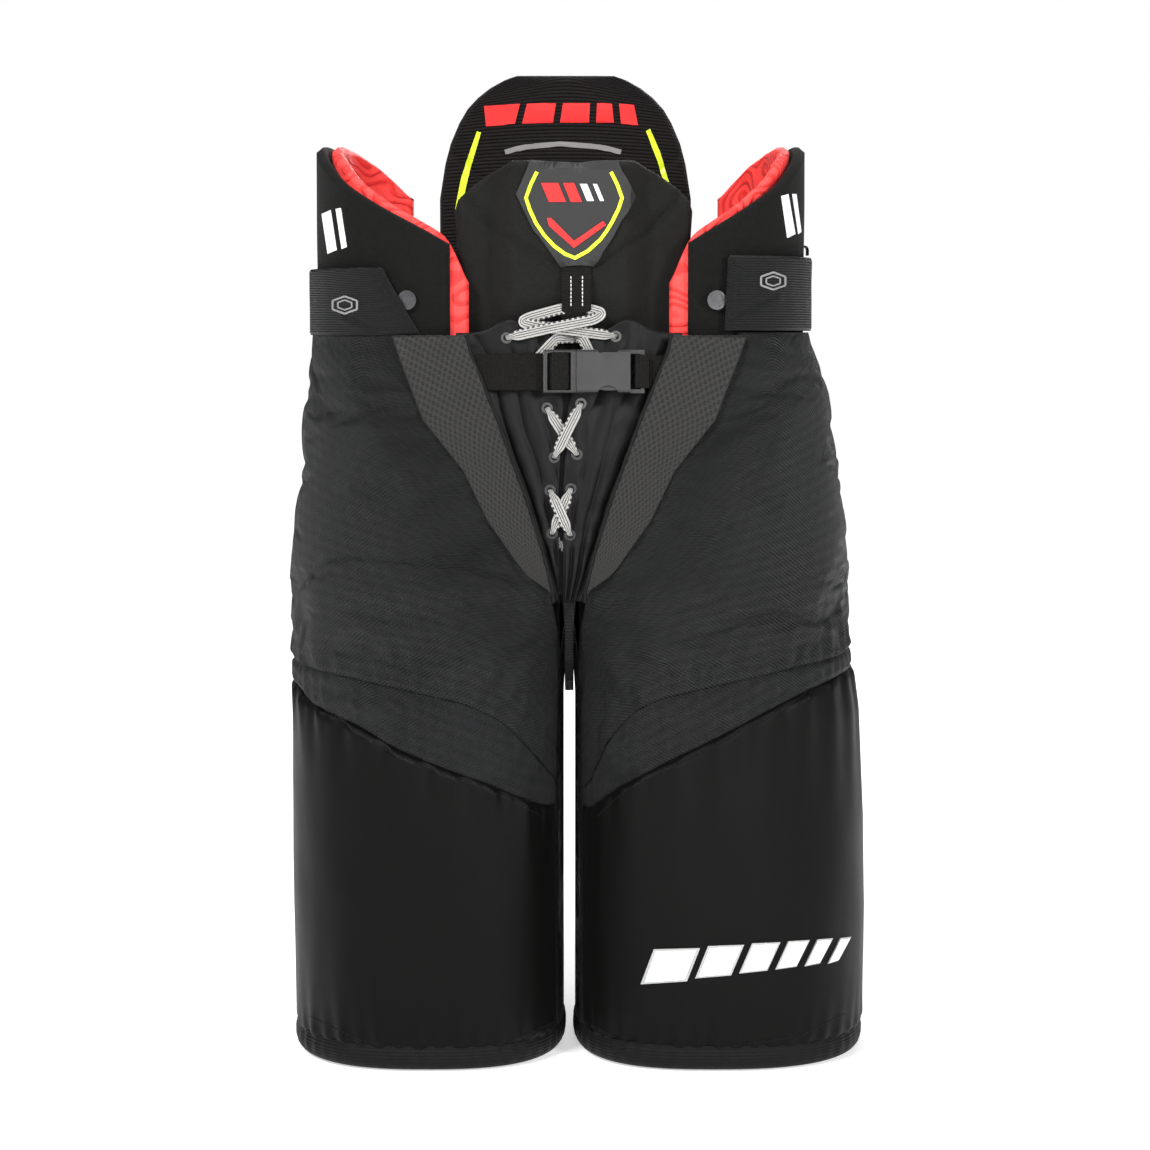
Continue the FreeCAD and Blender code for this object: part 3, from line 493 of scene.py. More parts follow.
def hit(bvh, px, py):
    """Where the view ray through a picture point meets a surface: point in mm before the shift, and its normal."""
    r = ray(px, py)
    o = (CAM + SH) / 1000
    loc, n, _, _ = bvh.ray_cast(Vector(o), Vector(r).normalized())
    if loc is None:
        loc, n, _, _ = bvh.find_nearest(Vector(o + r * 1.9))
    n = np.array(n)
    if n @ r > 0:
        n = -n
    return np.array(loc) * 1000 - SH, n


def drop(bvh, p, direction=(0, 1, 0), back=60):
    d = np.array(direction, float)
    o = (np.array(p) + SH - d * back) / 1000
    loc, n, _, _ = bvh.ray_cast(Vector(o), Vector(d))
    if loc is None:
        loc, n, _, _ = bvh.find_nearest(Vector((np.array(p) + SH) / 1000))
    n = np.array(n)
    if n @ d > 0:
        n = -n
    return np.array(loc) * 1000 - SH, n


def decal(name, polys, bvh, mat, h=0.5, step=4.0, sink=0.4, dome=0.0):
    """Flat pieces laid on a surface, their outlines given as picture points."""
    allV, allF, allB = [], [], []
    for poly in polys:
        pts = []
        n = len(poly)
        for i in range(n):
            a, b = np.array(poly[i], float), np.array(poly[(i + 1) % n], float)
            m = max(1, int(np.linalg.norm(b - a) / step))
            pts += [a + (b - a) * k / m for k in range(m)]
        ring = len(pts)
        lo, hi = np.min(pts, 0), np.max(pts, 0)
        inner = []
        P = np.array(pts)

        def inside(q):
            c = False
            for i in range(ring):
                a, b = P[i], P[(i + 1) % ring]
                if (a[1] > q[1]) != (b[1] > q[1]) and q[0] < (b[0] - a[0]) * (q[1] - a[1]) / (b[1] - a[1]) + a[0]:
                    c = not c
            return c
        for gx in np.arange(lo[0] + step / 2, hi[0], step):
            for gy in np.arange(lo[1] + step / 2, hi[1], step):
                q = np.array([gx, gy])
                if inside(q) and np.min(np.linalg.norm(P - q, axis=1)) > step * 0.55:
                    inner.append(q)
        co = [Vector(p) for p in pts + inner]
        vs, _, fs, _, _, _ = delaunay_2d_cdt(co, [(i, (i + 1) % ring) for i in range(ring)], [list(range(ring))], 1, 1e-4)
        k = len(allV)
        hits = [hit(bvh, v.x, v.y) for v in vs]
        for (p, nn), v in zip(hits, vs):
            extra = 0
            if dome:
                extra = dome * min(1.0, np.min(np.linalg.norm(P - np.array(v), axis=1)) / (3 * step))
            allV.append(p + nn * (h + extra))
        allF += [tuple(i + k for i in f) for f in fs]
        # walls
        edge = {}
        for f in fs:
            for a, b in zip(f, list(f[1:]) + [f[0]]):
                edge[(a, b)] = edge.get((a, b), 0) + 1
        rim = [(a, b) for (a, b) in edge if (b, a) not in edge]
        low = {}
        for a, b in rim:
            for q in (a, b):
                if q not in low:
                    low[q] = len(allV)
                    allV.append(hits[q][0] - hits[q][1] * sink)
        for a, b in rim:
            allF.append((a + k, low[a], low[b], b + k))
    V = np.array(allV)
    fab = np.stack([V[:, 0], V[:, 2], 0 * V[:, 0]], -1) / 1000
    ob = build(name, V, allF, mat, fab, 0, False)
    weld(ob, 1e-6)
    ob.data.polygons.foreach_set("use_smooth", [False] * len(ob.data.polygons))
    return ob


def tube(pts, r, sides=8, caps=True):
    """Vertices and faces of a tube along points."""
    P = np.asarray(pts, float)
    T = np.gradient(P, axis=0)
    T /= np.linalg.norm(T, axis=1, keepdims=True) + 1e-12
    up = np.array([0.0, 0.0, 1.0]) if abs(T[0][2]) < 0.9 else np.array([1.0, 0, 0])
    V, F = [], []
    a = np.cross(T[0], up)
    a /= np.linalg.norm(a)
    rr = np.broadcast_to(r, (len(P),))
    for i, (p, t) in enumerate(zip(P, T)):
        a = a - t * (a @ t)
        a /= np.linalg.norm(a) + 1e-12
        b = np.cross(t, a)
        for k in range(sides):
            w = 2 * math.pi * k / sides
            V.append(p + rr[i] * (a * math.cos(w) + b * math.sin(w)))
    for i in range(len(P) - 1):
        for k in range(sides):
            q = (k + 1) % sides
            F.append((i * sides + k, i * sides + q, (i + 1) * sides + q, (i + 1) * sides + k))
    if caps:
        F.append(tuple(range(sides))[::-1])
        F.append(tuple((len(P) - 1) * sides + k for k in range(sides)))
    return V, F


def stitches(name, lines, mat, pitch=3.6, length=2.5, r=0.34, lift=0.25):
    """Sewn dashes along lines of (point, normal)."""
    V, F = [], []
    for line in lines:
        P = np.array([p for p, n in line])
        N = np.array([n for p, n in line])
        run = np.concatenate([[0], np.cumsum(np.linalg.norm(np.diff(P, axis=0), axis=1))])
        for a in np.arange(0, run[-1] - length, pitch):
            ts = np.linspace(a, a + length, 5)
            q = np.stack([np.interp(ts, run, P[:, i]) for i in range(3)], -1)
            n = np.stack([np.interp(ts, run, N[:, i]) for i in range(3)], -1)
            q = q + n * (lift * np.array([-1.2, 0.7, 1.0, 0.7, -1.2])[:, None])
            v, f = tube(q, np.array([0.5, 0.9, 1, 0.9, 0.5]) * r, 5)
            k = len(V)
            V += v
            F += [tuple(i + k for i in x) for x in f]
    V = np.array(V)
    return build(name, V, F, mat, V / 1000)


def ribbon(name, pts, nrm, width, thick, mat, na=7, sub=1, unit_u=True, lens=0.7):
    """A flat band along points (mm), its face towards nrm at each point."""
    P, N = np.asarray(pts, float), np.asarray(nrm, float)
    run = np.concatenate([[0], np.cumsum(np.linalg.norm(np.diff(P, axis=0), axis=1))])
    T = np.gradient(P, axis=0)
    T /= np.linalg.norm(T, axis=1, keepdims=True)
    N = N - T * np.sum(N * T, 1, keepdims=True)
    N /= np.linalg.norm(N, axis=1, keepdims=True)
    W = np.cross(T, N)
    wd = np.broadcast_to(width, (len(P),))
    us = np.linspace(-1, 1, na)
    prof = [(u, 1) for u in us] + [(u, -1) for u in us[::-1]]
    G_, FB = [], []
    for u, s in prof:
        t = thick / 2 * (1 - lens * abs(u) ** 4)
        G_.append(P + W * (u * wd / 2)[:, None] + N * (s * t))
        FB.append(np.stack([np.full(len(P), u if unit_u else u * width / 2000), run / 1000, np.full(len(P), s)], -1))
    Gd, FBd = np.array(G_), np.array(FB)
    nu, nv = Gd.shape[:2]
    F = quads(nu, nv, True)
    F.append(tuple(i * nv for i in range(nu))[::-1])
    F.append(tuple(i * nv + nv - 1 for i in range(nu)))
    return build(name, Gd.reshape(-1, 3), F, mat, FBd.reshape(-1, 3), sub)


# ------------------------------------------------------------------ the cloth of each half
MESH_OUT = [(329, 11), (340, 24), (363, 40), (377, 50), (410, 66), (444, 93), (491, 110), (500, 113), (520, 116)]
MESH_IN = [(329, 10), (357, 17), (392, 28), (444, 47), (488, 65), (500, 68), (520, 70)]
SEAM_C = {"right": [(0, 175), (8, 176), (14, 178), (50, 196.5), (91, 212), (117, 223), (143, 238), (178, 250), (187, 258), (210, 262)],
          "left": [(0, 175), (8, 175), (14, 176), (32, 194), (63, 212), (104, 232.5), (139, 251), (165, 262), (187, 268), (215, 271)]}
SEAM_G = {"right": [(0, 186), (8, 192), (14, 202), (27, 221), (45, 241), (70, 253), (109, 262), (148, 270), (187, 274), (210, 277)],
          "left": [(0, 183), (8, 186), (15, 196), (20, 210), (27, 228), (45, 249), (63, 257), (106, 267), (153, 277), (187, 281), (215, 284)]}
NC = 120


def resample(P, n):
    run = np.concatenate([[0], np.cumsum(np.linalg.norm(np.diff(P, axis=0), axis=1))])
    t = np.linspace(0, run[-1], n)
    return np.stack([np.interp(t, run, P[:, i]) for i in range(3)], -1), run[-1]


def sstep(x, a, b):
    t = np.clip((x - a) / (b - a), 0, 1)
    return t * t * (3 - 2 * t)


class Cloth:
    """The front or the rear half of one side: columns of equal width, at any height."""
    def __init__(self, side, front):
        self.side, self.Z = side, np.arange(0, 509, 4.0)
        rows, self.L = [], []
        for z in self.Z:
            x = float(tab(MESH_OUT, z)) if front else 2.0
            cx, xi, ni = float(tab(CXT, z)), float(tab(X_IN, z)), float(tab(N_IN, z))
            ang = math.degrees(math.asin(min(1, (min(1, (cx - x) / (cx - xi))) ** (ni / 2))))
            w = float(sstep(z, 270, 329))
            if front:
                p0 = (-160) * (1 - w) + (-90 - ang) * w
                a = body_pt(side, np.linspace(p0, 20, 600), z)
                b = hip_pt(side, np.linspace(float(s_at_x(side, x, z)), 110 / 180, 600), z)
            else:
                p1 = 200 * (1 - w) + (90 + ang) * w
                a = body_pt(side, np.linspace(20, p1, 600), z)
                b = hip_pt(side, np.linspace(110 / 180, 1.985, 600), z)
            a, la = resample(a, NC)
            b, lb = resample(b, NC)
            k = float(sstep(z, 300, 360))
            rows.append(a * (1 - k) + b * k)
            self.L.append(la * (1 - k) + lb * k)
        self.T, self.L = np.array(rows), np.array(self.L)
        self.ref = float(np.interp(329, self.Z, self.L))
        self.front = front

    def at(self, ti, z):
        """ti column numbers, z heights, same shape."""
        k = np.clip(z / 4.0, 0, len(self.Z) - 1.001)
        i = k.astype(int)
        f = (k - i)[..., None]
        return self.T[i, ti] * (1 - f) + self.T[i + 1, ti] * f

    def grid(self, zlo, zhi, n):
        """zlo and zhi per column. Returns points (column, row), arc positions, and heights."""
        ti = np.arange(NC)[:, None] + np.zeros((1, n), int)
        v = np.linspace(0, 1, n)[None]
        z = zlo[:, None] * (1 - v) + zhi[:, None] * v
        P = self.at(ti, z)
        L = np.interp(z, self.Z, self.L)
        frac = ti / (NC - 1)
        A = 11 + self.ref - (1 - frac) * L if self.front else frac * L
        return P, A, z

    def seam(self, table):
        ti = np.arange(NC)
        z = np.full(NC, 230.0)
        for _ in range(12):
            z = 0.5 * z + 0.5 * tab(table[self.side], np.abs(self.at(ti, z)[:, 0]))
        return np.convolve(np.pad(z, 2, mode="edge"), np.ones(5) / 5, mode="valid")


def outward(P, side, c=None):
    n = normals(P)
    c = np.array([SIDES[side] * 96.0, -5.0]) if c is None else np.array(c)
    d = P[..., :2] - c
    s = np.sign(np.median(np.sum(n[..., :2] * d, -1)))
    return n * s, s < 0


def ridge(t):
    return np.abs(np.sin(t)) ** 0.75 - 0.62


def puckers(a, d, wave, reach, amp, seed):
    ph = 2 * math.pi * a / wave + 2.2 * fbm(a / (wave * 2.6), d / 60, seed, 2)
    mod = 0.65 + 0.5 * fbm(a / (wave * 4), d / 50, seed + 1, 2)
    return amp * mod * np.exp(-np.abs(d) / reach) * np.sin(ph)


def relax(P, h, n, grow, frames, hold, bend):
    """Lets a sheet with too much cloth settle into folds over its padding, its borders sewn down. Returns the moved points."""
    Q = P + n * h[..., None]
    nu, nv = P.shape[:2]
    me = bpy.data.meshes.new("settle")
    me.from_pydata((Q.reshape(-1, 3) / 100).tolist(), [], quads(nu, nv))
    ob = bpy.data.objects.new("settle", me)
    scene.collection.objects.link(ob)
    vg = ob.vertex_groups.new(name="pin")
    ij = np.indices((nu, nv))
    edge = (ij[0] == 0) | (ij[0] == nu - 1) | (ij[1] == 0) | (ij[1] == nv - 1)
    e = edge.ravel()
    vg.add([int(i) for i in np.nonzero(e)[0]], 1.0, "REPLACE")
    vg.add([int(i) for i in np.nonzero(~e)[0]], hold, "REPLACE")
    md = ob.modifiers.new("cloth", "CLOTH")
    st = md.settings
    st.quality, st.mass, st.air_damping = 4, 0.2, 2.0
    st.tension_stiffness = st.compression_stiffness = 25
    st.shear_stiffness, st.bending_stiffness = 10, bend
    st.tension_damping = st.compression_damping = st.shear_damping = 6
    st.bending_damping = 0.5
    st.vertex_group_mass, st.pin_stiffness = "pin", 1.0
    st.shrink_min = st.shrink_max = -grow
    st.effector_weights.gravity = 0.0
    md.collision_settings.use_collision = False
    md.collision_settings.use_self_collision = False
    md.point_cache.frame_start, md.point_cache.frame_end = 1, frames
    for f in range(1, frames + 1):
        scene.frame_set(f)
    dg = bpy.context.evaluated_depsgraph_get()
    ev = ob.evaluated_get(dg).data
    co = np.empty(len(ev.vertices) * 3, np.float32)
    ev.vertices.foreach_get("co", co)
    bpy.data.objects.remove(ob)
    scene.frame_set(1)
    return co.reshape(nu, nv, 3).astype(float) * 100 - P


def cloth_panel(name, side, P, h, mat, z, thick=1.1, borders=(1, 1, 1, 1), limit=(-1.1, 7.5), settle=None):
    """Displaces the sheet by h, tucks its borders into the seams, and gives it thickness."""
    n, flip = outward(P, side)
    fab = arc_uv(P)
    a, v = fab[..., 0] * 1000, fab[..., 1] * 1000
    e = [v - v[:, :1], v[:, -1:] - v, a - a[:1], a[-1:] - a]
    if settle:
        D = relax(P, h * 0.6, n, *settle)
        d = np.sum(D * n, -1)
        tang = D - n * d[..., None]
        print(name, "moved", round(float(np.std(d - h * 0.6)), 2), round(float(d.min()), 2), round(float(d.max()), 2), round(float(np.abs(tang).max()), 2))
        h = np.where(d < 0.8, 0.8 + (d - 0.8) * 0.55, d)
        P = P + np.clip(tang, -3, 3) * sstep(np.abs(P[..., :1]), 8, 22)
        h = h * (1 - 0.72 * sstep(P[..., 2], 440, 498))
    groove, fade = 0, 1
    for on, d in zip(borders, e):
        if on:
            groove = groove - 1.0 * np.exp(-(d / 2.0) ** 2)
            fade = fade * sstep(d, -1.5, 4.5)
    h = np.clip(h * fade + groove, *limit)
    h = np.minimum(h, 1.0 + 6.5 * sstep(np.abs(P[..., 0]), 15, 34))
    Q = P + n * h[..., None]
    ob = grid(name, Q, mat, flip=flip, sub=1, fab=fab)
    md = ob.modifiers.new("t", "SOLIDIFY")
    md.thickness, md.offset = thick / 1000, -1
    apply(ob)
    return ob


CL = {}
UP, COV, YOKE, REAR = {}, {}, {}, {}
for side in SIDES:
    k = SIDES[side]
    sd = 11 if side == "right" else 47
    F_, R_ = Cloth(side, True), Cloth(side, False)
    CL[side] = (F_, R_)
    zc, zg = F_.seam(SEAM_C), F_.seam(SEAM_G)
    zg = np.maximum(zg, zc + 7)
    bot = np.full(NC, 15.0)
    # lower cover: smooth satin over the plate, soft vertical swells
    P, A, z = F_.grid(bot, zc, 76)
    h = 1.3 + 1.5 * fbm(A / 55, z / 120, sd, 3) + 0.5 * fbm(A / 17, z / 38, sd + 1, 3)
    h = h + puckers(A, z - 15, 14, 11, 2.4, sd + 2) + puckers(A, z - 15, 31, 34, 1.1, sd + 9)
    h = h + puckers(A, zc[:, None] - z, 13, 9, 1.6, sd + 3) + puckers(A, zc[:, None] - z, 29, 34, 1.7, sd + 4)
    COV[side] = cloth_panel(side + "_cover_cloth", side, P, h, M["cover"], z)
    # gathered yoke
    P, A, z = F_.grid(zc, zg, 16)
    h = 1.2 + 1.0 * fbm(A / 22, z / 26, sd + 5, 3) + puckers(A, z - zc[:, None], 14, 14, 1.6, sd + 6) + puckers(A, zg[:, None] - z, 13, 16, 3.0, sd + 7) + puckers(A, zg[:, None] - z, 31, 40, 1.8, sd + 8)
    YOKE[side] = cloth_panel(side + "_yoke_cloth", side, P, h, M["upper"], z, settle=(0.04, 12, 0.08, 0.05))
    # upper panel: drag folds from the crotch, creases round the hip, gathers on the yoke seam
    P, A, z = F_.grid(zg, np.full(NC, 502.5), 118)
    X = A
    r, th = np.hypot(X - 4, z - 306), np.arctan2(z - 306, X - 4)
    w1 = fbm(X / 34, z / 34, sd + 10, 3)
    env = np.exp(-r / 150) * (0.55 + 0.55 * fbm(X / 60, z / 60, sd + 11, 2)) * sstep(r, 8, 45)
    h = 1.6 + 6.0 * env * ridge(th * 6.2 + 1.1 * w1 + 0.4)
    h = h + 3.0 * np.exp(-r / 110) * ridge(th * 14 + 1.6 * w1)
    h = h + 2.6 * ridge((z + 0.42 * X) / 21 + 1.5 * fbm(X / 48, z / 40, sd + 12, 3)) * sstep(fbm(X / 46, z / 34, sd + 13, 2), -0.1, 0.7)
    h = h + 2.0 * ridge((z - 0.9 * X) / 16 + 1.7 * fbm(X / 40, z / 40, sd + 14, 3)) * sstep(fbm(X / 36, z / 44, sd + 15, 2), 0.0, 0.75)
    h = h + 0.7 * fbm(X / 12, z / 10, sd + 16, 3)
    dz = z - zg[:, None]
    h = h + puckers(A, dz, 13, 15, 3.2, sd + 17) + puckers(A, dz, 24, 46, 3.4, sd + 18) + puckers(A, dz, 47, 90, 1.8, sd + 19)
    edge_d = (A - A[:1])
    h = h + np.where(z > 329, puckers(z, edge_d, 9, 7, 0.9, sd + 20), 0) + puckers(z, A[-1:] - A, 11, 12, 1.0, sd + 21)
    h = h * (1 - 0.75 * sstep(z, 478, 499)) + 0.5 * np.sin(A / 4.2 + 2 * fbm(A / 30, z / 30, sd + 22, 2)) * sstep(z, 470, 498)
    UP[side] = cloth_panel(side + "_upper_cloth", side, P, h, M["upper"], z, borders=(1, 0, 1, 1), settle=(0.05, 16, 0.06, 0.05))
    # rear panel, hem to waist in one piece
    rb = np.full(NC, 15.0)
    P, A, z = R_.grid(rb, np.full(NC, 501.5), 170)
    h = 1.5 + 1.8 * fbm(A / 60, z / 70, sd + 30, 3) + 0.8 * fbm(A / 18, z / 18, sd + 31, 3)
    h = h + 2.4 * ridge((z + 0.25 * A) / 24 + 1.6 * fbm(A / 50, z / 45, sd + 32, 3)) * sstep(fbm(A / 60, z / 50, sd + 33, 2), -0.15, 0.6) * np.exp(-((z - 320) / 90) ** 2)
    h = h + 1.2 * ridge((z - 0.6 * A) / 17 + 1.6 * fbm(A / 40, z / 45, sd + 34, 3)) * sstep(fbm(A / 40, z / 36, sd + 35, 2), 0.0, 0.7)
    h = h + puckers(A, z - 15, 11, 9, 1.5, sd + 36) + puckers(z, A, 11, 12, 1.0, sd + 37) + puckers(z, A[-1:] - A, 12, 12, 1.0, sd + 38)
    h = h * (1 - 0.7 * sstep(z, 478, 499))
    REAR[side] = cloth_panel(side + "_rear_cloth", side, P, h, M["rear"], z, borders=(1, 0, 1, 1), settle=(0.03, 12, 0.08, 0.08))
    leg = side + "_leg"
    for ob, nodes in ((COV[side], ["thigh_cover"]), (YOKE[side], ["yoke_band"])):
        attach(ob, leg)
        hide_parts(*[side + "_" + n for n in nodes])
    for ob, nodes in ((UP[side], ["front_panel", "groin_panel"]), (REAR[side], ["back_panel", "rear_leg_panel"])):
        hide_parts(*[side + "_" + n for n in nodes])

    # hem binding: a soft roll of cloth round the end of the foam
    prof = [(0.2, 18.5), (-1.0, 16.4), (-1.9, 12), (-2.0, 8.5), (-1.3, 4.6), (0.6, 2.0), (3.2, 0.9), (7, 0.7), (12, 0.7), (15.2, 1.4), (17.0, 3.6), (17.9, 7.5), (17.8, 12), (16.8, 16.5)]
    d_, z_ = np.array(prof).T
    tt = np.linspace(0, 1, 30)
    d_, z_ = np.interp(tt, np.linspace(0, 1, len(prof)), d_), np.interp(tt, np.linspace(0, 1, len(prof)), z_)
    ph = np.linspace(-180, 180, 221)[:-1]
    base = resample(np.concatenate([body_pt(side, np.linspace(-180, 180, 1500), 5.0)]), 221)[0][:-1]
    # angle of each even step
    allp = body_pt(side, np.linspace(-180, 180, 4000), 5.0)
    run = np.concatenate([[0], np.cumsum(np.linalg.norm(np.diff(allp, axis=0), axis=1))])
    ph = np.interp(np.linspace(0, run[-1], 221)[:-1], run, np.linspace(-180, 180, 4000))
    arc = np.linspace(0, run[-1], 221)[:-1]
    wob = 0.75 * np.sin(2 * math.pi * np.round(run[-1] / 11.5) * arc / run[-1] + 1.4 * np.sin(arc / 31)) + 0.4 * np.sin(arc / 2.1 + 2 * np.sin(arc / 17))
    P = np.zeros((220, 30, 3))
    for j in range(30):
        q = body_pt(side, ph, max(z_[j], 0.0), 0)
        q2 = body_pt(side, ph, max(z_[j], 0.0), 1.0)
        nn = q2 - q
        amp = 1.0 - 0.9 * sstep(tt[j], 0.30, 0.45)
        dd = d_[j] - wob * amp * math.sin(math.pi * min(1, tt[j] * 2.6)) * 0.9 - (0.5 if j == 0 else 0)
        P[:, j] = q + nn * dd[:, None]
        P[:, j, 2] = z_[j] + (0.35 * wob * sstep(tt[j], 0.0, 0.2) * (1 - sstep(tt[j], 0.15, 0.35)))
    P[..., 2] = np.maximum(P[..., 2], 0.25)
    hem = grid(side + "_hem_roll", P, M["hem"], wrap=True, sub=1, flip=(k > 0), fab=np.stack([np.tile(arc[:, None], (1, 30)), np.tile(np.cumsum(np.full(30, 1.7))[None], (220, 1)), np.zeros((220, 30))], -1) / 1000)
    md = hem.modifiers.new("t", "SOLIDIFY")
    md.thickness, md.offset = 0.0008, -1
    apply(hem)
    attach(hem, leg)
    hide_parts(side + "_hem_binding")
    # lining of the tube
    zz = np.linspace(14, 327, 60)
    ph2 = np.linspace(-180, 180, 121)[:-1]
    Pn = np.stack([body_pt(side, ph2, zv, 17.6) for zv in zz], 1)
    n2 = np.stack([body_pt(side, ph2, zv, 18.6) for zv in zz], 1) - Pn
    a2 = np.radians(ph2)[:, None] * 90 + 0 * zz[None]
    hl = 0.7 * fbm(np.cos(a2 / 90) * 3 + zz[None] / 60, np.sin(a2 / 90) * 3 + zz[None] / 90, sd + 40, 4) + 0.25
    lin = grid(side + "_lining_tube", Pn + n2 * hl[..., None], M["lining"], wrap=True, sub=1, flip=(k < 0))
    md = lin.modifiers.new("t", "SOLIDIFY")
    md.thickness, md.offset = 0.0006, -1
    apply(lin)
    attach(lin, leg)
    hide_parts(side + "_leg_lining")


# ------------------------------------------------------------------ padded pieces
def pillow(name, O, I, mat, R=6.0, sub=0, fab=None, power=2.0):
    """A closed soft piece between an outer and an inner grid, with rounded borders."""
    fab = arc_uv(O) if fab is None else fab
    a, v = fab[..., 0] * 1000, fab[..., 1] * 1000
    e = np.minimum(np.minimum(v - v[:, :1], v[:, -1:] - v), np.minimum(a - a[:1], a[-1:] - a))
    f = (1 - (1 - np.clip(e / R, 0, 1)) ** power) ** (1 / power)
    Mid = (O + I) / 2
    O2, I2 = Mid + (O - Mid) * f[..., None], Mid + (I - Mid) * f[..., None]
    nu, nv = O.shape[:2]
    V = np.concatenate([O2.reshape(-1, 3), I2.reshape(-1, 3)])
    F = quads(nu, nv)
    k = nu * nv
    F = F + [tuple(i + k for i in f_[::-1]) for f_ in F]
    ob = build(name, V, F, mat, np.concatenate([fab.reshape(-1, 3)] * 2))
    weld(ob, 1e-6)
    if sub:
        md = ob.modifiers.new("s", "SUBSURF")
        md.levels = md.render_levels = sub
        apply(ob)
    return ob


def y_front_at(x, z, d, side="left", zr=500.0, back=False):
    cx, xo, no = float(tab(CXT, zr)), float(tab(OUTER[side], zr)), float(tab(N_OUT, zr))
    yf, yb = float(tab(YF, zr)), float(tab(YB, zr))
    cy, hy = (yf + yb) / 2, (yb - yf) / 2
    ax = np.abs(x)
    f = np.where(ax <= cx, hy, hy * (1 - np.clip((ax - cx) / (xo - cx), 0, 0.999) ** no) ** (1 / no))
    return cy + f - d if back else cy - f + d


def edge_dist(x, z, line):
    """Distance of points from a broken line in (x, z)."""
    best = np.full(np.shape(x), 1e9)
    for (x0, z0), (x1, z1) in zip(line, line[1:]):
        dx, dz = x1 - x0, z1 - z0
        t = np.clip(((x - x0) * dx + (z - z0) * dz) / (dx * dx + dz * dz + 1e-9), 0, 1)
        best = np.minimum(best, np.hypot(x - x0 - t * dx, z - z0 - t * dz))
    return best


def pxline(pts, y):
    return [at_y(px, py, y) for px, py in pts]


# belly pad
BW = [(472, 70), (500, 74), (560, 79), (584, 80.5), (592, 78), (598, 72), (604, 64), (609, 57), (613, 49), (618, 41)]
zb = np.concatenate([np.linspace(472, 580, 46), np.linspace(582, 618, 20)])
ub = np.linspace(-1, 1, 73)
Wb = tab(BW, zb)
Xb = 3.0 + ub[:, None] * Wb[None]
Zb = zb[None] + 0 * Xb
Zb = Zb - 2.6 * np.exp(-((Xb + 1) / 13) ** 2) * sstep(Zb, 595, 618)
b_ = np.clip((532 - Zb) / 28, 0, 1)
base = 5.0 + 7.0 * b_ * b_ * (3 - 2 * b_)
t_ = np.clip((np.abs(Xb) - 36) / 20, 0, 1)
fr = base + (23.0 - base) * t_ * t_ * (3 - 2 * t_)
GRO = [pxline([(455, 186), (468, 202), (496, 228), (527, 249), (562, 268)], -104), pxline([(593, 267), (611, 257), (650, 226), (676, 202), (684, 190)], -104)]
dg_ = np.minimum(edge_dist(Xb, Zb, GRO[0]), edge_dist(Xb, Zb, GRO[1]))
fr = fr + 2.9 * np.exp(-(dg_ / 2.2) ** 2) - 1.2 * np.exp(-((dg_ - 7) / 4.5) ** 2) - 0.5 * fbm(Xb / 40, Zb / 40, 5, 3) * sstep(Zb, 528, 545)
Ob = np.stack([Xb, y_front_at(Xb, Zb, fr), Zb], -1)
Ib = np.stack([Xb, y_front_at(Xb, Zb, 0) + 30, Zb], -1)
belly = pillow("belly_cushion", Ob, Ib, M["belly"], 6.5)
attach(belly, "shell")
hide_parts("belly_pad")

# spine pad: two ribbed layers with a stiff plate between them
SW = [(472, 66), (500, 74), (560, 92), (600, 92), (625, 88), (640, 84), (655, 77.5), (665, 71.5), (673, 64), (680, 55), (686, 44), (689, 35)]


def spine(name, d0, d1, rib, R, seed):
    zs = np.concatenate([np.linspace(472, 660, 150), np.linspace(661.2, 689, 26)])
    us = np.linspace(-1, 1, 61)
    X = -3.0 + us[:, None] * tab(SW, zs)[None]
    Z = zs[None] + 0 * X
    lean = 6.0 * np.clip((Z - 560) / 129, 0, 10) ** 2
    sideR = np.where(X < 0, 1, 0)

    def yy(d):
        return np.where(sideR, y_front_at(X, Z, d, "right", back=True), y_front_at(X, Z, d, "left", back=True)) - lean
    h = rib * np.sin(2 * math.pi * Z / 3.4) + 0.5 * fbm(X / 45, Z / 45, seed, 3)
    for line in ([(-95, 640), (-40, 596), (-3, 590), (34, 596), (90, 640)], [(-45, 590), (-45, 500)], [(39, 590), (39, 500)]):
        h = h - 2.0 * np.exp(-(edge_dist(X, Z, line) / 2.2) ** 2)
    O = np.stack([X, yy(d0) + (h if d0 < 5 else 0), Z], -1)
    I = np.stack([X, yy(d1) - (h if d1 > 20 else 0), Z], -1)
    return pillow(name, O, I, M["spine"], R)


sb = spine("spine_back_cushion", 3.8, 11.0, 0.2, 3.6, 8)
sf = spine("spine_front_cushion", 13.6, 24.0, 0.22, 5.0, 9)
for ob, n in ((sb, "spine_pad_back"), (sf, "spine_pad_front")):
    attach(ob, "spine_pad")
    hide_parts(n)

# hip pads
HT = [(-0.10, 528), (-0.06, 538), (-0.02, 551), (0.0, 559), (0.02, 569), (0.08, 580), (0.16, 592), (0.26, 606), (0.36, 621), (0.46, 631), (0.56, 634), (0.66, 631), (0.76, 622), (0.83, 610), (0.88, 598), (1.0, 570)]


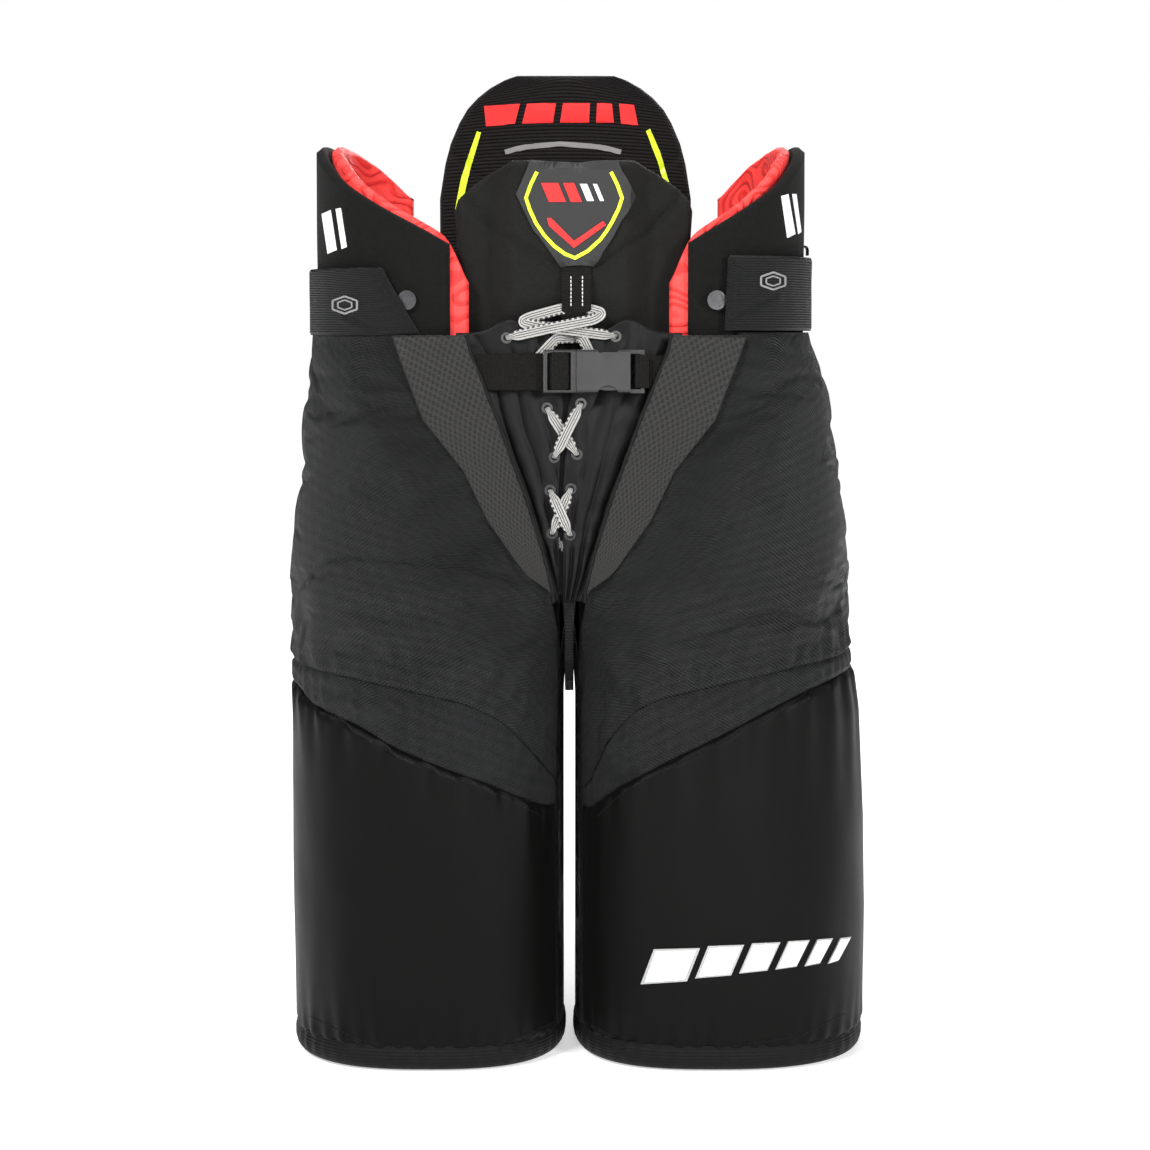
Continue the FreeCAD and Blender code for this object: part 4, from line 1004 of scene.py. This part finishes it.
def hipgrid(side, s0, s1, zlo, drop_, dfun, nu=76, nv=46, front=0.0):
    ss = np.linspace(s0, s1, 600)
    q = hip_pt(side, ss, 500.0)
    run = np.concatenate([[0], np.cumsum(np.linalg.norm(np.diff(q, axis=0), axis=1))])
    s = np.interp(np.linspace(0, run[-1], nu), run, ss)[:, None]
    top = np.interp(s[:, 0], *np.array(HT).T)
    top = np.convolve(np.pad(top, 3, mode="edge"), np.array([1, 2, 3, 4, 3, 2, 1]) / 16, mode="valid")[:, None] - drop_ - front * (1 - sstep(s, 0.30, 0.50))
    z = zlo + (top - zlo) * np.linspace(0, 1, nv)[None]
    return hip_pt(side, s + 0 * z, z, dfun(s + 0 * z, z), zref=500.0), s + 0 * z, z


def hin(s):
    return 14.8 + 8.2 * np.clip((s - 0.02) / 0.18, 0, 1)


def hout(s):
    return 3.6 + 2.8 * np.clip((0.08 - s) / 0.05, 0, 1)


for side in SIDES:
    body = side + "_hip_pad"
    sd = 3 if side == "left" else 21
    s0, s1 = float(s_at_x(side, 80, 500)), 0.88
    mid = lambda s: 3.6 + (hin(s) - 3.6) * 0.42
    O, S, Z = hipgrid(side, s0, s1, 472, 0, lambda s, z: hout(s) - 0.5 * fbm(s * 14, z / 40, sd, 3), front=4.0)
    I, _, _ = hipgrid(side, s0, s1, 472, 0, lambda s, z: mid(s), front=4.0)
    ob = pillow(side + "_hip_cushion", O, I, M["hip"], 3.6)
    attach(ob, body)
    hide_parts(side + "_hip_pad")
    s0r = float(s_at_x(side, 67.5, 500))
    O, S, Z = hipgrid(side, s0r, s1, 472, 0.0, lambda s, z: mid(s) + 2.3, 90, 56)
    wave = lambda s, z: 0.55 * np.sin(26 * fbm(s * 3.2, z / 95, sd + 2, 2)) + 0.6 * fbm(s * 10, z / 40, sd + 1, 2)
    I, _, _ = hipgrid(side, s0r, s1, 472, 0.0, lambda s, z: hin(s) - 1.0 + wave(s, z), 90, 56)
    ob = pillow(side + "_hip_lining", O, I, M["red"], 4.5)
    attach(ob, body)
    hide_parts(side + "_hip_pad_lining")

# foam of the hip shell, with its stitched lining
for side in SIDES:
    sd = 61 if side == "left" else 73
    for nm, sa, sb_, seed in (("hip_foam", None, 0.758, 0), ("seat_foam", 0.767, 1.97, 5)):
        zz = np.linspace(333, 450, 46)
        rows_o, rows_i = [], []
        for z in zz:
            a = float(s_at_x(side, float(tab(MESH_IN, z)) + 13, z)) if sa is None else sa
            ss = np.linspace(a, sb_, 400)
            q = hip_pt(side, ss, z)
            run = np.concatenate([[0], np.cumsum(np.linalg.norm(np.diff(q, axis=0), axis=1))])
            s = np.interp(np.linspace(0, run[-1], 70), run, ss)
            c = np.interp(s, [sa or 0, 2], [0, 2])
            quilt = 1.2 * np.exp(-((np.mod(np.linspace(0, run[-1], 70) + z * 0.7, 46) - 23) / 2.5) ** 2) + 1.2 * np.exp(-((np.mod(np.linspace(0, run[-1], 70) - z * 0.7, 46) - 23) / 2.5) ** 2)
            rows_o.append(hip_pt(side, s, z, 2.6))
            rows_i.append(hip_pt(side, s, z, 14.6 - quilt))
        O, I = np.array(rows_o).transpose(1, 0, 2), np.array(rows_i).transpose(1, 0, 2)
        ob = pillow(side + "_" + nm + "_quilt", O, I, M["lining"], 4.0)
        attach(ob, "shell")
        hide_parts(side + "_" + nm)

# ------------------------------------------------------------------ mesh vents, fly, tongue, gusset
TILT_F = math.atan2(14, 176)
EYE = {"right": [(-11.4, 368), (-12.7, 397), (-10.0, 419), (-14.7, 452), (-26.0, 480), (-42.0, 499)],
       "left": [(0.7, 367), (1.3, 398), (5.3, 421), (8.0, 455), (18.0, 480), (31.4, 500)]}
FLYX = [(320, -5.5), (400, -5.5), (437, -3.4), (500, 0.6), (510, 0.6)]


def fly_pt(x, z, n):
    x, z, n = np.broadcast_arrays(np.asarray(x, float), np.asarray(z, float), np.asarray(n, float))
    return np.stack([x, tab(YF, z) - n * math.cos(TILT_F), z + n * math.sin(TILT_F)], -1)


for side in SIDES:
    k = SIDES[side]
    sd = 90 if side == "left" else 95
    zz = np.linspace(322, 500.5, 90)
    a, b = tab(MESH_IN, zz), tab(MESH_OUT, zz) + 5 * sstep(zz, 318, 350)
    t = np.linspace(0, 1, 40)[:, None]
    X = a[None] * (1 - t) + b[None] * t
    Z = zz[None] + 0 * X
    sx = s_at_x(side, X, Z)
    belt = np.exp(-((Z - 476) / 15) ** 4)
    h = 0.5 * fbm(X / 20, Z / 22, sd, 3) + 0.9 * belt * np.sin(X / 9.0 + 1.0) + 0.5 * np.sin(X / 2.6 + fbm(X / 20, Z / 20, sd + 1, 2)) * sstep(Z, 486, 497)
    O = hip_pt(side, sx, Z, -3.6 - h)
    I = hip_pt(side, sx, Z, -2.9 - h)
    ob = pillow(side + "_vent_mesh", O, I, M["mesh"], 1.2)
    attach(ob, "shell")
    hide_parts(side + "_mesh_panel")
    # rolled hem along the mesh's inner edge
    e = hip_pt(side, s_at_x(side, a + 0.6, zz), zz, -3.4)
    V, F = tube(e, 1.3 + 0.15 * np.sin(zz / 2.2), 10)
    V2 = np.array(V)
    hemo = build(side + "_vent_hem", V2, F, M["hem"], V2 / 1000)
    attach(hemo, "shell")
    # gathered fly
    zz = np.linspace(322, 506, 100)
    x0 = tab(FLYX, zz) + k * (1.2 + np.maximum(0, zz - 455) * 0.222)
    x1 = k * (tab(MESH_IN, zz) + 8)
    t = np.linspace(0, 1, 66)[:, None]
    X = x0[None] * (1 - t) + x1[None] * t
    Z = zz[None] + 0 * X
    Z = Z + (9.0 * np.exp(-((np.abs(X) - 40) / 13) ** 2) - 3.0) * sstep(Z, 485, 506)
    ang = np.arctan2(X + 3 * k, Z - 296)
    keep = 1.0
    for ex, ez in EYE[side]:
        keep = keep * (1 - np.exp(-(np.hypot(X - ex, Z - ez) / 7.5) ** 4))
    h = 2.6 * ridge(ang * 30 + 1.3 * fbm(X / 18, Z / 40, sd + 3, 3)) + 0.8 * fbm(X / 8, Z / 16, sd + 4, 3)
    h = h + 1.0 * np.sin(Z / 3.0 + 3 * fbm(X / 14, Z / 14, sd + 5, 2)) * np.exp(-np.abs(X - x1[None]) / 10)
    h = np.clip(h * keep * sstep(t * 60, 0, 5), -1.6, 1.5)
    O, I = fly_pt(X, Z, -4.0 + h), fly_pt(X, Z, -5.0 + h)
    ob = pillow(side + "_fly_cloth", O, I, M["fly"], 1.2, sub=1)
    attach(ob, "shell")
    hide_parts(side + "_fly_panel")

zz = np.linspace(326, 468, 60)
w = tab(MESH_IN, zz) + 9
t = np.linspace(-1, 1, 50)[:, None]
X, Z = t * w[None], zz[None] + 0 * t
h = 0.5 * fbm(X / 20, Z / 26, 33, 3)
ton = pillow("tongue_cushion", fly_pt(X, Z, -9.8 + h), fly_pt(X, Z, -14.5 + h), M["lining"], 2.4)
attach(ton, "shell")
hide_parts("fly_tongue")

# gusset: a gathered strip of cloth through the crotch
go = np.array([(-113.5, 334), (-113.5, 322), (-110, 300), (-102, 282), (-86, 266), (-40, 254), (0, 251), (40, 254), (84, 266), (100, 284), (106, 300), (114, 329)], float)
go, _ = resample(np.c_[np.zeros(len(go)), go], 150)
tg = np.gradient(go, axis=0)
tg /= np.linalg.norm(tg, axis=1, keepdims=True)
ng = np.cross(np.array([1.0, 0, 0]), tg)
xs = np.linspace(-1, 1, 15)
wid = 3.0 + 1.5 * sstep(go[:, 2], 300, 325) * (go[:, 1] < 0)
run = np.arange(150) * 1.0
puck = 0.7 * np.sin(run * 0.9)[None] * np.abs(xs)[:, None] ** 2 + 0.4 * fbm(run[None] / 9, xs[:, None] * 2, 77, 3)
P = go[None] + np.stack([xs[:, None] * wid[None], 0 * puck, 0 * puck], -1) + ng[None] * (puck[..., None] - 0.4)
Pi = go[None] + np.stack([xs[:, None] * wid[None], 0 * puck, 0 * puck], -1) - ng[None] * (-puck[..., None] + 1.6)
gus = pillow("gusset_cloth", P, Pi, M["hem"], 1.2)
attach(gus, "shell")
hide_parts("crotch_gusset")

# ------------------------------------------------------------------ inner belt, webbing
for nm, parts in (("inner_belt_band", ("right", "left")),):
    obs = []
    for side in parts:
        ss = np.linspace(float(s_at_x(side, 80, 500)), 1.99, 500)
        q, L = resample(hip_pt(side, ss, 500.0, 2.55), 150)
        q2, _ = resample(hip_pt(side, ss, 500.0, 1.55), 150)
        q[:, 2] = 484
        q2[:, 2] = 484
        obs.append(ribbon(nm + side, q, q2 - q, 20.0, 1.2, M["web"], 9, 0, False))
    ob = join(nm, obs)
    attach(ob, "inner_belt")
    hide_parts("inner_belt")

BZ = 476.0


def web(name, prof, width, thick):
    """A strap through points (x, n) over the flat front."""
    x, n = np.array(prof, float).T
    q, L = resample(np.c_[x, n, 0 * x], max(20, int(len(x) * 9)))
    P = fly_pt(q[:, 0], BZ, q[:, 1])
    T = np.gradient(q[:, :2], axis=0)
    T /= np.linalg.norm(T, axis=1, keepdims=True)
    nn = np.stack([-T[:, 1], T[:, 0]], -1)
    N = np.stack([nn[:, 0], -nn[:, 1] * math.cos(TILT_F), nn[:, 1] * math.sin(TILT_F)], -1)
    return ribbon(name, P, N, width, thick, M["web"], 15, 1, False, 0.5)


wr = web("right_webbing", [(-63, 1.3), (-50, 1.5), (-34, 1.4), (-18, 1.4), (-15.4, 1.8), (-13.0, 3.2), (-10.6, 6.6), (-8.6, 7.3), (-3.4, 7.3), (-1.2, 6.2), (0.2, 3.0), (1.6, 2.0), (2.6, 1.9)], 25.0, 1.5)
wl = web("left_webbing", [(92, 1.4), (78, 1.5), (60, 1.45), (50, 1.5), (45.6, 1.6), (44.2, 3.4), (45.8, 5.9), (49, 6.2), (53.5, 6.0)], 22.2, 1.5)
for ob, n, b in ((wr, "right_belt_webbing", "buckle_insert"), (wl, "left_belt_webbing", "shell")):
    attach(ob, b)
    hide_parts(n)

# ------------------------------------------------------------------ lace: a flat braid through every eyelet
F_, B_, O_ = -1.7, -7.5, 1.8
r_, l_ = EYE["right"], EYE["left"]


def thr(p, *ns):
    return [(p[0], p[1], n) for n in ns]


route = [(-5.0, 359.0, B_)] + thr(r_[0], B_, F_) + thr(l_[1], F_, B_) + thr(l_[2], B_, F_) + thr(r_[3], F_, B_) + thr(r_[4], B_, F_)
route += [(-8.0, 499.0, F_ + 0.3), (0.6, 498.0, -6.5)] + thr(l_[5], B_, F_)
route += [(-23.0, 507.0, -0.2), (-32.5, 509.5, -1.2), (-27.0, 512.5, -2.4), (-5.0, 518.5, -2.7), (12.5, 518.5, -2.7), (23.0, 515.5, -0.8), (17.0, 511.0, 1.2), (-13.5, 505.0, 2.4)]
m3 = ((r_[1][0] + l_[0][0]) / 2, (r_[1][1] + l_[0][1]) / 2, O_)
m2 = ((r_[2][0] + l_[3][0]) / 2, (r_[2][1] + l_[3][1]) / 2, O_)
route += thr(r_[5], F_, B_) + [(0.6, 500.5, -9.9), (8.8, 499.0, F_ + 0.3)] + thr(l_[4], F_, B_) + thr(l_[3], B_, F_) + [m2] + thr(r_[2], F_, B_)
route += thr(r_[1], B_, F_) + [m3] + thr(l_[0], F_, B_) + [(-4.0, 356.0, B_)]


def bend_path(pts, r=3.2, step=1.0):
    """Straight runs with rounded corners, sampled evenly, in (x, z, n)."""
    P = np.array(pts, float)
    out = [P[0]]
    for a, b, c in zip(P, P[1:], P[2:]):
        la, lc = np.linalg.norm(a - b), np.linalg.norm(c - b)
        k = min(r, 0.45 * la, 0.45 * lc)
        p, q = b + (a - b) / la * k, b + (c - b) / lc * k
        for t in np.linspace(0, 1, 7):
            out.append((1 - t) ** 2 * p + 2 * t * (1 - t) * b + t * t * q)
    out.append(P[-1])
    return resample(np.array(out), int(sum(np.linalg.norm(np.diff(np.array(out), axis=0), axis=1)) / step))[0]


lp = bend_path(route)
runz = np.gradient(lp, axis=0)
tin = runz.copy()
tin[:, 2] = 0
ker = np.exp(-(np.arange(-9, 10) / 4.0) ** 2)
tin = np.stack([np.convolve(np.pad(tin[:, i], 9, mode="edge"), ker / ker.sum(), mode="valid") for i in range(3)], -1)
tin /= np.linalg.norm(tin, axis=1, keepdims=True) + 1e-9
Tw = np.stack([tin[:, 0], 0 * tin[:, 0], tin[:, 1]], -1)
nout = np.array([0, -math.cos(TILT_F), math.sin(TILT_F)])
W = np.cross(Tw, nout)
LP = fly_pt(lp[:, 0], lp[:, 1], lp[:, 2])
T3 = np.gradient(LP, axis=0)
T3 /= np.linalg.norm(T3, axis=1, keepdims=True)
W = W - T3 * np.sum(W * T3, 1, keepdims=True)
W /= np.linalg.norm(W, axis=1, keepdims=True) + 1e-9
Nl = np.cross(W, T3)
Nl *= np.where(np.sum(Nl * np.cross(W, T3), 1, keepdims=True) < 0, -1, 1)
dE = np.full(len(lp), 1e9)
for ex, ez in r_ + l_:
    dE = np.minimum(dE, np.hypot(lp[:, 0] - ex, lp[:, 1] - ez))
wid = 3.3 + 3.9 * sstep(dE, 1.5, 8.5)
wid = np.where(lp[:, 2] < -4.5, np.minimum(wid, 5.0), wid)
lace = ribbon("lace_braid", LP, Nl, wid, 1.5, M["lace"], 9, 1, True, 0.55)
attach(lace, "shell")
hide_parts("lace")

# ------------------------------------------------------------------ tabs, hook patches, pull loop, keeper
TABZ = {"right": (504.0, 546.0), "left": (507.0, 554.0)}
TABS = {"right": (0.062, 0.137), "left": (0.082, 0.089)}
FOLD = {"left": pxline([(726, 324), (774, 297)], -90), "right": pxline([(348, 317), (388, 335)], -90)}
TAB_OB = {}
for side in SIDES:
    z0, z1 = TABZ[side]
    f0, f1 = TABS[side]
    sd = 120 if side == "left" else 130
    nz, nu = 26, 110
    zz = np.linspace(z0 - 3.4, z1, nz)
    st = f0 + (f1 - f0) * (zz - z0) / (z1 - z0)
    S = st[None] + (0.60 - st[None]) * np.linspace(0, 1, nu)[:, None]
    Z = zz[None] + 0 * S
    base = hip_pt(side, S, Z, -1.5, zref=500.0)
    df = edge_dist(np.abs(base[..., 0]) * SIDES[side], Z, FOLD[side])
    h = 0.5 * fbm(S * 26, Z / 22, sd, 3) - 0.9 * np.exp(-(df / 2.0) ** 2) + 0.4 * np.exp(-((df - 4) / 2.5) ** 2)
    edge_s = (S - st[None]) * 300
    h = h - 0.35 * np.exp(-((edge_s - 4.2) / 0.9) ** 2) - 0.35 * np.exp(-((edge_s - 8.6) / 0.9) ** 2)
    O = hip_pt(side, S, Z, -2.3 - h, zref=500.0)
    I = hip_pt(side, S, Z, -0.8 - h * 0.4, zref=500.0)
    ob = pillow(side + "_tab_cloth", O, I, M["tab"], 1.5)
    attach(ob, side + "_tab")
    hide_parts(side + "_extension_tab")
    TAB_OB[side] = ob
    S = np.linspace(0.20, 0.42, 60)[:, None] + 0 * np.linspace(0, 1, 20)[None]
    Z = np.linspace(z0 + 6, z1 - 5, 20)[None] + 0 * S
    tuft = 0.16 * np.sin(S * 700) * np.sin(Z * 3.4)
    ob = pillow(side + "_hook_strip", hip_pt(side, S, Z, -0.35, zref=500.0), hip_pt(side, S, Z, 0.75 + tuft, zref=500.0), M["hook"], 0.8)
    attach(ob, side + "_tab")
    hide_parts(side + "_hook_patch")

p, q = hip_pt("left", 0.56, 500.0, 3.3), hip_pt("left", 0.56, 500.0, 0.0)
nr = (q - p) / np.linalg.norm(q - p)
o = p + nr * 1.4
o[2] = 538
a = np.linspace(0, math.pi, 14)
loop = [o + np.array([0, 0, z]) for z in np.linspace(0, 23, 9)] + [o + np.array([0, 0, 23 + 2.8 * math.sin(t)]) + nr * (2.6 - 2.6 * math.cos(t)) for t in a[1:-1]] + [o + nr * 5.2 + np.array([0, 0, z]) for z in np.linspace(23, 19, 3)]
loop, _ = resample(np.array(loop), 50)
tl = np.gradient(loop, axis=0)
wdir = np.cross(np.array([0, 0, 1.0]), nr)
ob = ribbon("pull_loop_tape", loop, np.cross(tl, wdir), 9.0, 1.3, M["web"], 9, 1, False)
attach(ob, "left_hip_pad")
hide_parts("left_pull_loop")

YB_ = float(y_front_at(0.0, 560.0, 5.0))
kp = [(-0.4, 548), (1.2, 545.5), (3.2, 541.5), (4.8, 538), (5.0, 530), (4.8, 522.5), (3.4, 518.5), (1.9, 515), (1.5, 511.5), (1.2, 507)]
kp, _ = resample(np.array([(5.0, YB_ - d, z) for d, z in kp]), 44)
tk = np.gradient(kp, axis=0)
keeper = ribbon("keeper_strap", kp, np.cross(tk, np.array([-1.0, 0, 0])), 20.0, 1.5, M["web"], 15, 1, False)
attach(keeper, "shell")
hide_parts("lace_keeper")

# ------------------------------------------------------------------ moulded badge and printed marks (all of them plain shapes, no lettering)
bb = bvh_of(belly)
SHIELD = [(530, 162), (516, 194), (533, 230), (562, 266), (593, 265), (613, 238), (634, 197), (618, 162), (596, 164), (575, 165), (552, 164)]
badge = decal("badge_moulding", [SHIELD], bb, M["rubber"], 1.9, 5.0, 0.6, 0.5)
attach(badge, "shell")
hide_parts("belly_badge")
b2 = bvh_of(badge)


def strip_poly(pts, w):
    """Outline of a strip of that width along picture points."""
    P = np.array(pts, float)
    T = np.gradient(P, axis=0)
    T /= np.linalg.norm(T, axis=1, keepdims=True)
    N = np.stack([-T[:, 1], T[:, 0]], -1) * w / 2
    return [tuple(p) for p in P + N] + [tuple(p) for p in (P - N)[::-1]]


LID = []


def mark(name, polys, bvh, mat, body, h=0.5, step=5.0, sink=0.3):
    ob = decal(name, polys, bvh, mat, h, step, sink)
    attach(ob, body)
    LID.append(ob)
    return ob


mark("badge_line", [strip_poly([(537, 172), (531, 184), (526, 198), (530, 210), (536, 223), (544, 235), (554, 246), (565, 254), (575, 258), (588, 251), (600, 240), (606, 232), (612, 222), (618, 210), (622, 198), (617, 184), (611, 172)], 3.6)], b2, M["neon"], "shell", 0.7)
mark("badge_chevron", [[(547, 218), (551, 218), (574, 241), (603, 221), (606, 225), (574, 248), (549, 226)]], b2, M["redink"], "shell", 0.7)
mark("badge_bars", [[(541, 183), (558, 183), (566, 202), (549, 202)], [(563, 183), (574, 183), (582, 202), (571, 202)]], b2, M["redink"], "shell", 0.8)
mark("badge_ticks", [[(580, 184), (587, 184), (594, 201), (587, 201)], [(593, 184), (597, 184), (604, 201), (600, 201)]], b2, M["white"], "shell", 0.8)
bsf = bvh_of(sf)
mark("spine_mark", [[(484, 106), (520, 104), (515, 124), (486, 126)], [(527, 104), (556, 103), (553, 123), (522, 124)], [(563, 103), (590, 103), (589, 123), (560, 123)], [(597, 103), (612, 104), (614, 123), (596, 123)], [(619, 104), (634, 105), (638, 125), (621, 124)]], bsf, M["redink"], "spine_pad", 0.9)
mark("spine_wedges", [[(477, 131), (481, 133), (470, 170), (463, 201), (455, 210), (461, 178)], [(646, 131), (650, 129), (660, 152), (669, 182), (666, 190), (657, 160)]], bsf, M["neon"], "spine_pad", 1.0)
mark("spine_lower", [strip_poly([(505, 152), (525, 147), (560, 144), (600, 147), (621, 152)], 5), ], bsf, M["greyink"], "spine_pad", 0.9)
hipb = {s: bvh_of(bpy.data.objects[s + "_hip_cushion"]) for s in SIDES}
mark("right_hip_mark", [[(322, 214), (331, 210), (337, 250), (328, 254)], [(336, 209), (341, 208), (347, 247), (342, 249)]], hipb["right"], M["white"], "right_hip_pad", 0.4)
mark("left_hip_mark", [[(781, 196), (788, 194), (795, 234), (787, 238)], [(792, 194), (796, 194), (801, 232), (798, 234)]], hipb["left"], M["white"], "left_hip_pad", 0.4)
hexo = lambda cx, cy, r, t: [strip_poly([(cx + r * math.cos(a), cy + 0.62 * r * math.sin(a)), (cx + r * math.cos(a + 1.0472), cy + 0.62 * r * math.sin(a + 1.0472))], t) for a in np.arange(6) * 1.0472 + 0.5236]
tb = {s: bvh_of(TAB_OB[s]) for s in SIDES}
mark("right_tab_mark", hexo(345, 305, 14, 1.8) + hexo(345, 305, 8, 1.4), tb["right"], M["greyink"], "right_tab", 0.35)
mark("left_tab_mark", hexo(773, 281, 14, 1.8) + hexo(773, 281, 8, 1.4), tb["left"], M["greyink"], "left_tab", 0.35)
cb = bvh_of(COV["left"])
bars = []
x = 641.0
for wdt in (46, 36, 28, 21, 15, 10):
    y0, y1 = 984 - (x - 641) * 0.11, 949 - (x - 641) * 0.06
    bars.append([(x, y0), (x + 13, y1), (x + 13 + wdt, y1 - 1.2), (x + wdt, y0 - 3)])
    x += wdt + 8
grow = lambda b, k: [(sum(p[0] for p in b) / 4 + (q[0] - sum(p[0] for p in b) / 4) * (1 + k / 10), sum(p[1] for p in b) / 4 + (q[1] - sum(p[1] for p in b) / 4) * (1 + k / 12)) for q in b]
mark("leg_mark_edge", bars, cb, M["silver"], "left_leg", 1.0, 5.0)
mark("leg_mark", [grow(b, -1.4) for b in bars], cb, M["white"], "left_leg", 1.6, 5.0, -0.5)

# ------------------------------------------------------------------ sewing
def sline(pts, bvh):
    out = []
    for (x0, y0), (x1, y1) in zip(pts, pts[1:]):
        m = max(2, int(math.hypot(x1 - x0, y1 - y0) / 2.2))
        out += [hit(bvh, x0 + (x1 - x0) * i / m, y0 + (y1 - y0) * i / m) for i in range(m)]
    return out


def shifted(pts, d):
    P = np.array(pts, float)
    T = np.gradient(P, axis=0)
    T /= np.linalg.norm(T, axis=1, keepdims=True)
    return [tuple(p) for p in P + np.stack([-T[:, 1], T[:, 0]], -1) * d]


def sew(name, obj, lines, mat, body, **kw):
    bv = bvh_of(obj)
    ob = stitches(name, [sline(l, bv) for l in lines], mat, **kw)
    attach(ob, body)
    return ob


sew("keeper_thread", keeper, [[(571, 276), (571, 312)], [(582.5, 276), (582.5, 312)]], M["thread_white"], "shell", pitch=2.6, length=2.2, r=0.42)
GP = {"right": [(307, 662), (349, 674), (406, 687), (464, 701), (502, 718), (529, 747), (545, 772)], "left": [(837, 641), (797, 658), (728, 679), (663, 694), (636, 705), (609, 736), (597, 768)]}
CP = {"right": [(306, 672), (318, 696), (356, 727), (395, 750), (433, 765), (494, 788), (545, 813)], "left": [(832, 659), (816, 681), (777, 708), (724, 736), (663, 765), (617, 792), (592, 816)]}
for side in SIDES:
    leg = side + "_leg"
    sew(side + "_cover_thread", COV[side], [shifted(CP[side], 4 if side == "right" else -4)], M["thread"], leg)
    sew(side + "_hem_thread", COV[side], [[(303 + 6, 1016), (360, 1040), (430, 1050), (500, 1046), (558, 1020)] if side == "right" else [(582, 1020), (630, 1044), (720, 1048), (800, 1036), (848, 1012)]], M["thread"], leg)
    so = SIDES[side]
    e = MESH_OUT
    ml = [(p[0] + 4, p[1]) for p in MESH_OUT[2:-1]]
    up = bvh_of(UP[side])
    ln = [drop(up, (so * x, -200, z)) for x, z in resample(np.array([(x, 0, z) for x, z in ml], float), 90)[0][:, [0, 2]]]
    ob = stitches(side + "_vent_thread", [ln], M["thread"])
    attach(ob, "shell")
    sew(side + "_tab_thread", TAB_OB[side], [[(390, 280), (421, 331)], [(385, 281), (416, 332)]] if side == "right" else [[(729, 260), (724, 319)], [(733, 260), (728, 319)]], M["thread"], side + "_tab", pitch=3.0, length=2.1)

# cloth with no body of its own last, when its mesh is final: its transform is baked into its mesh
for side in SIDES:
    for ob in (UP[side], REAR[side]):
        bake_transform(ob)

# ------------------------------------------------------------------ nodes that keep their CAD shape: hard parts get their finish, and softened edges
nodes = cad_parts
KEEP = {"right_thigh_plate": "plastic", "left_thigh_plate": "plastic", "right_hip_plate": "plastic", "left_hip_plate": "plastic", "tailbone_plate": "plastic",
        "right_thigh_foam": "lining", "left_thigh_foam": "lining", "right_rear_foam": "lining", "left_rear_foam": "lining",
        "eyelets": "enamel", "buckle_housing": "plastic", "buckle_insert": "plastic", "buckle_prong_upper": "plastic", "buckle_prong_lower": "plastic",
        "right_suspender_buttons": "steel", "left_suspender_buttons": "steel"}
for n, m in KEEP.items():
    ob = nodes[n]
    ob.data.materials.clear()
    ob.data.materials.append(M[m])
    if m in ("plastic", "steel", "enamel"):
        md = ob.modifiers.new("edge", "BEVEL")
        md.width, md.segments, md.limit_method, md.angle_limit = (0.0006 if n.startswith("buckle") else 0.00025), 2, "ANGLE", math.radians(35)
        md.harden_normals = False

# ------------------------------------------------------------------ light, floor and finish
def floor_glow_painted_shadow_mat(name, col, rough=0.9):
    m, nt, bs = mat_new(name)
    bs.inputs["Base Color"].default_value = (*col, 1)
    bs.inputs["Roughness"].default_value = rough
    bs.inputs["Specular IOR Level"].default_value = 0.0
    bs.inputs["Emission Color"].default_value = (1, 1, 1, 1)
    g = G(nt)
    # painted light and painted shadow: the floor glows (emission) so it looks white and lights the pants from below,
    # and it glows less within about a metre of the middle, which paints a soft shadow round the pants
    far = g.node("ShaderNodeVectorMath", operation="LENGTH")
    nt.links.new(g.pos(), far.inputs[0])
    nt.links.new(g.mapr(far.outputs["Value"], 0.25, 1.3, 0.52, 1.02), bs.inputs["Emission Strength"])
    return m


# glowing floor with a painted shadow round the pants
bpy.ops.mesh.primitive_plane_add(size=30, location=(0, 0, 0))
floor = bpy.context.object
floor.name = "floor"
floor.data.materials.append(floor_glow_painted_shadow_mat("floor_glow_painted_shadow", (0.75, 0.75, 0.75)))


def area(name, loc, aim, size, power, col=(1, 1, 1)):
    d = bpy.data.lights.new(name, "AREA")
    d.shape, d.size, d.size_y, d.energy, d.color = "RECTANGLE", size[0], size[1], power, col
    o = bpy.data.objects.new(name, d)
    scene.collection.objects.link(o)
    o.location = loc
    o.rotation_euler = (Vector(aim) - Vector(loc)).to_track_quat("-Z", "Y").to_euler()
    return o


area("key_left", (-1.35, -1.9, 2.1), (0, 0, 0.30), (0.6, 0.6), 78)
area("key_right", (1.75, -2.0, 1.2), (0, 0, 0.30), (0.5, 0.8), 50)
area("front", (0.15, -2.6, 1.1), (0, 0, 0.30), (0.7, 0.7), 15)
area("top", (0.0, 0.2, 2.2), (0, 0, 0.3), (1.0, 0.8), 17)
area("back", (0.5, 2.3, 1.5), (0, 0, 0.35), (1.2, 1.0), 24)
world = bpy.data.worlds.new("world")
scene.world = world
world.use_nodes = True
wt = world.node_tree
bg = wt.nodes["Background"]
bg.inputs[0].default_value = (1, 1, 1, 1)
bg.inputs[1].default_value = 0.09
seen = wt.nodes.new("ShaderNodeBackground")
seen.inputs[0].default_value, seen.inputs[1].default_value = (1, 1, 1, 1), 1.0
lp_ = wt.nodes.new("ShaderNodeLightPath")
mx = wt.nodes.new("ShaderNodeMixShader")
wt.links.new(lp_.outputs["Is Camera Ray"], mx.inputs[0])
wt.links.new(bg.outputs[0], mx.inputs[1])
wt.links.new(seen.outputs[0], mx.inputs[2])
wt.links.new(mx.outputs[0], wt.nodes["World Output"].inputs[0])
scene.view_settings.view_transform = "Standard"
scene.view_settings.look = "None"
scene.view_settings.exposure = 0.0
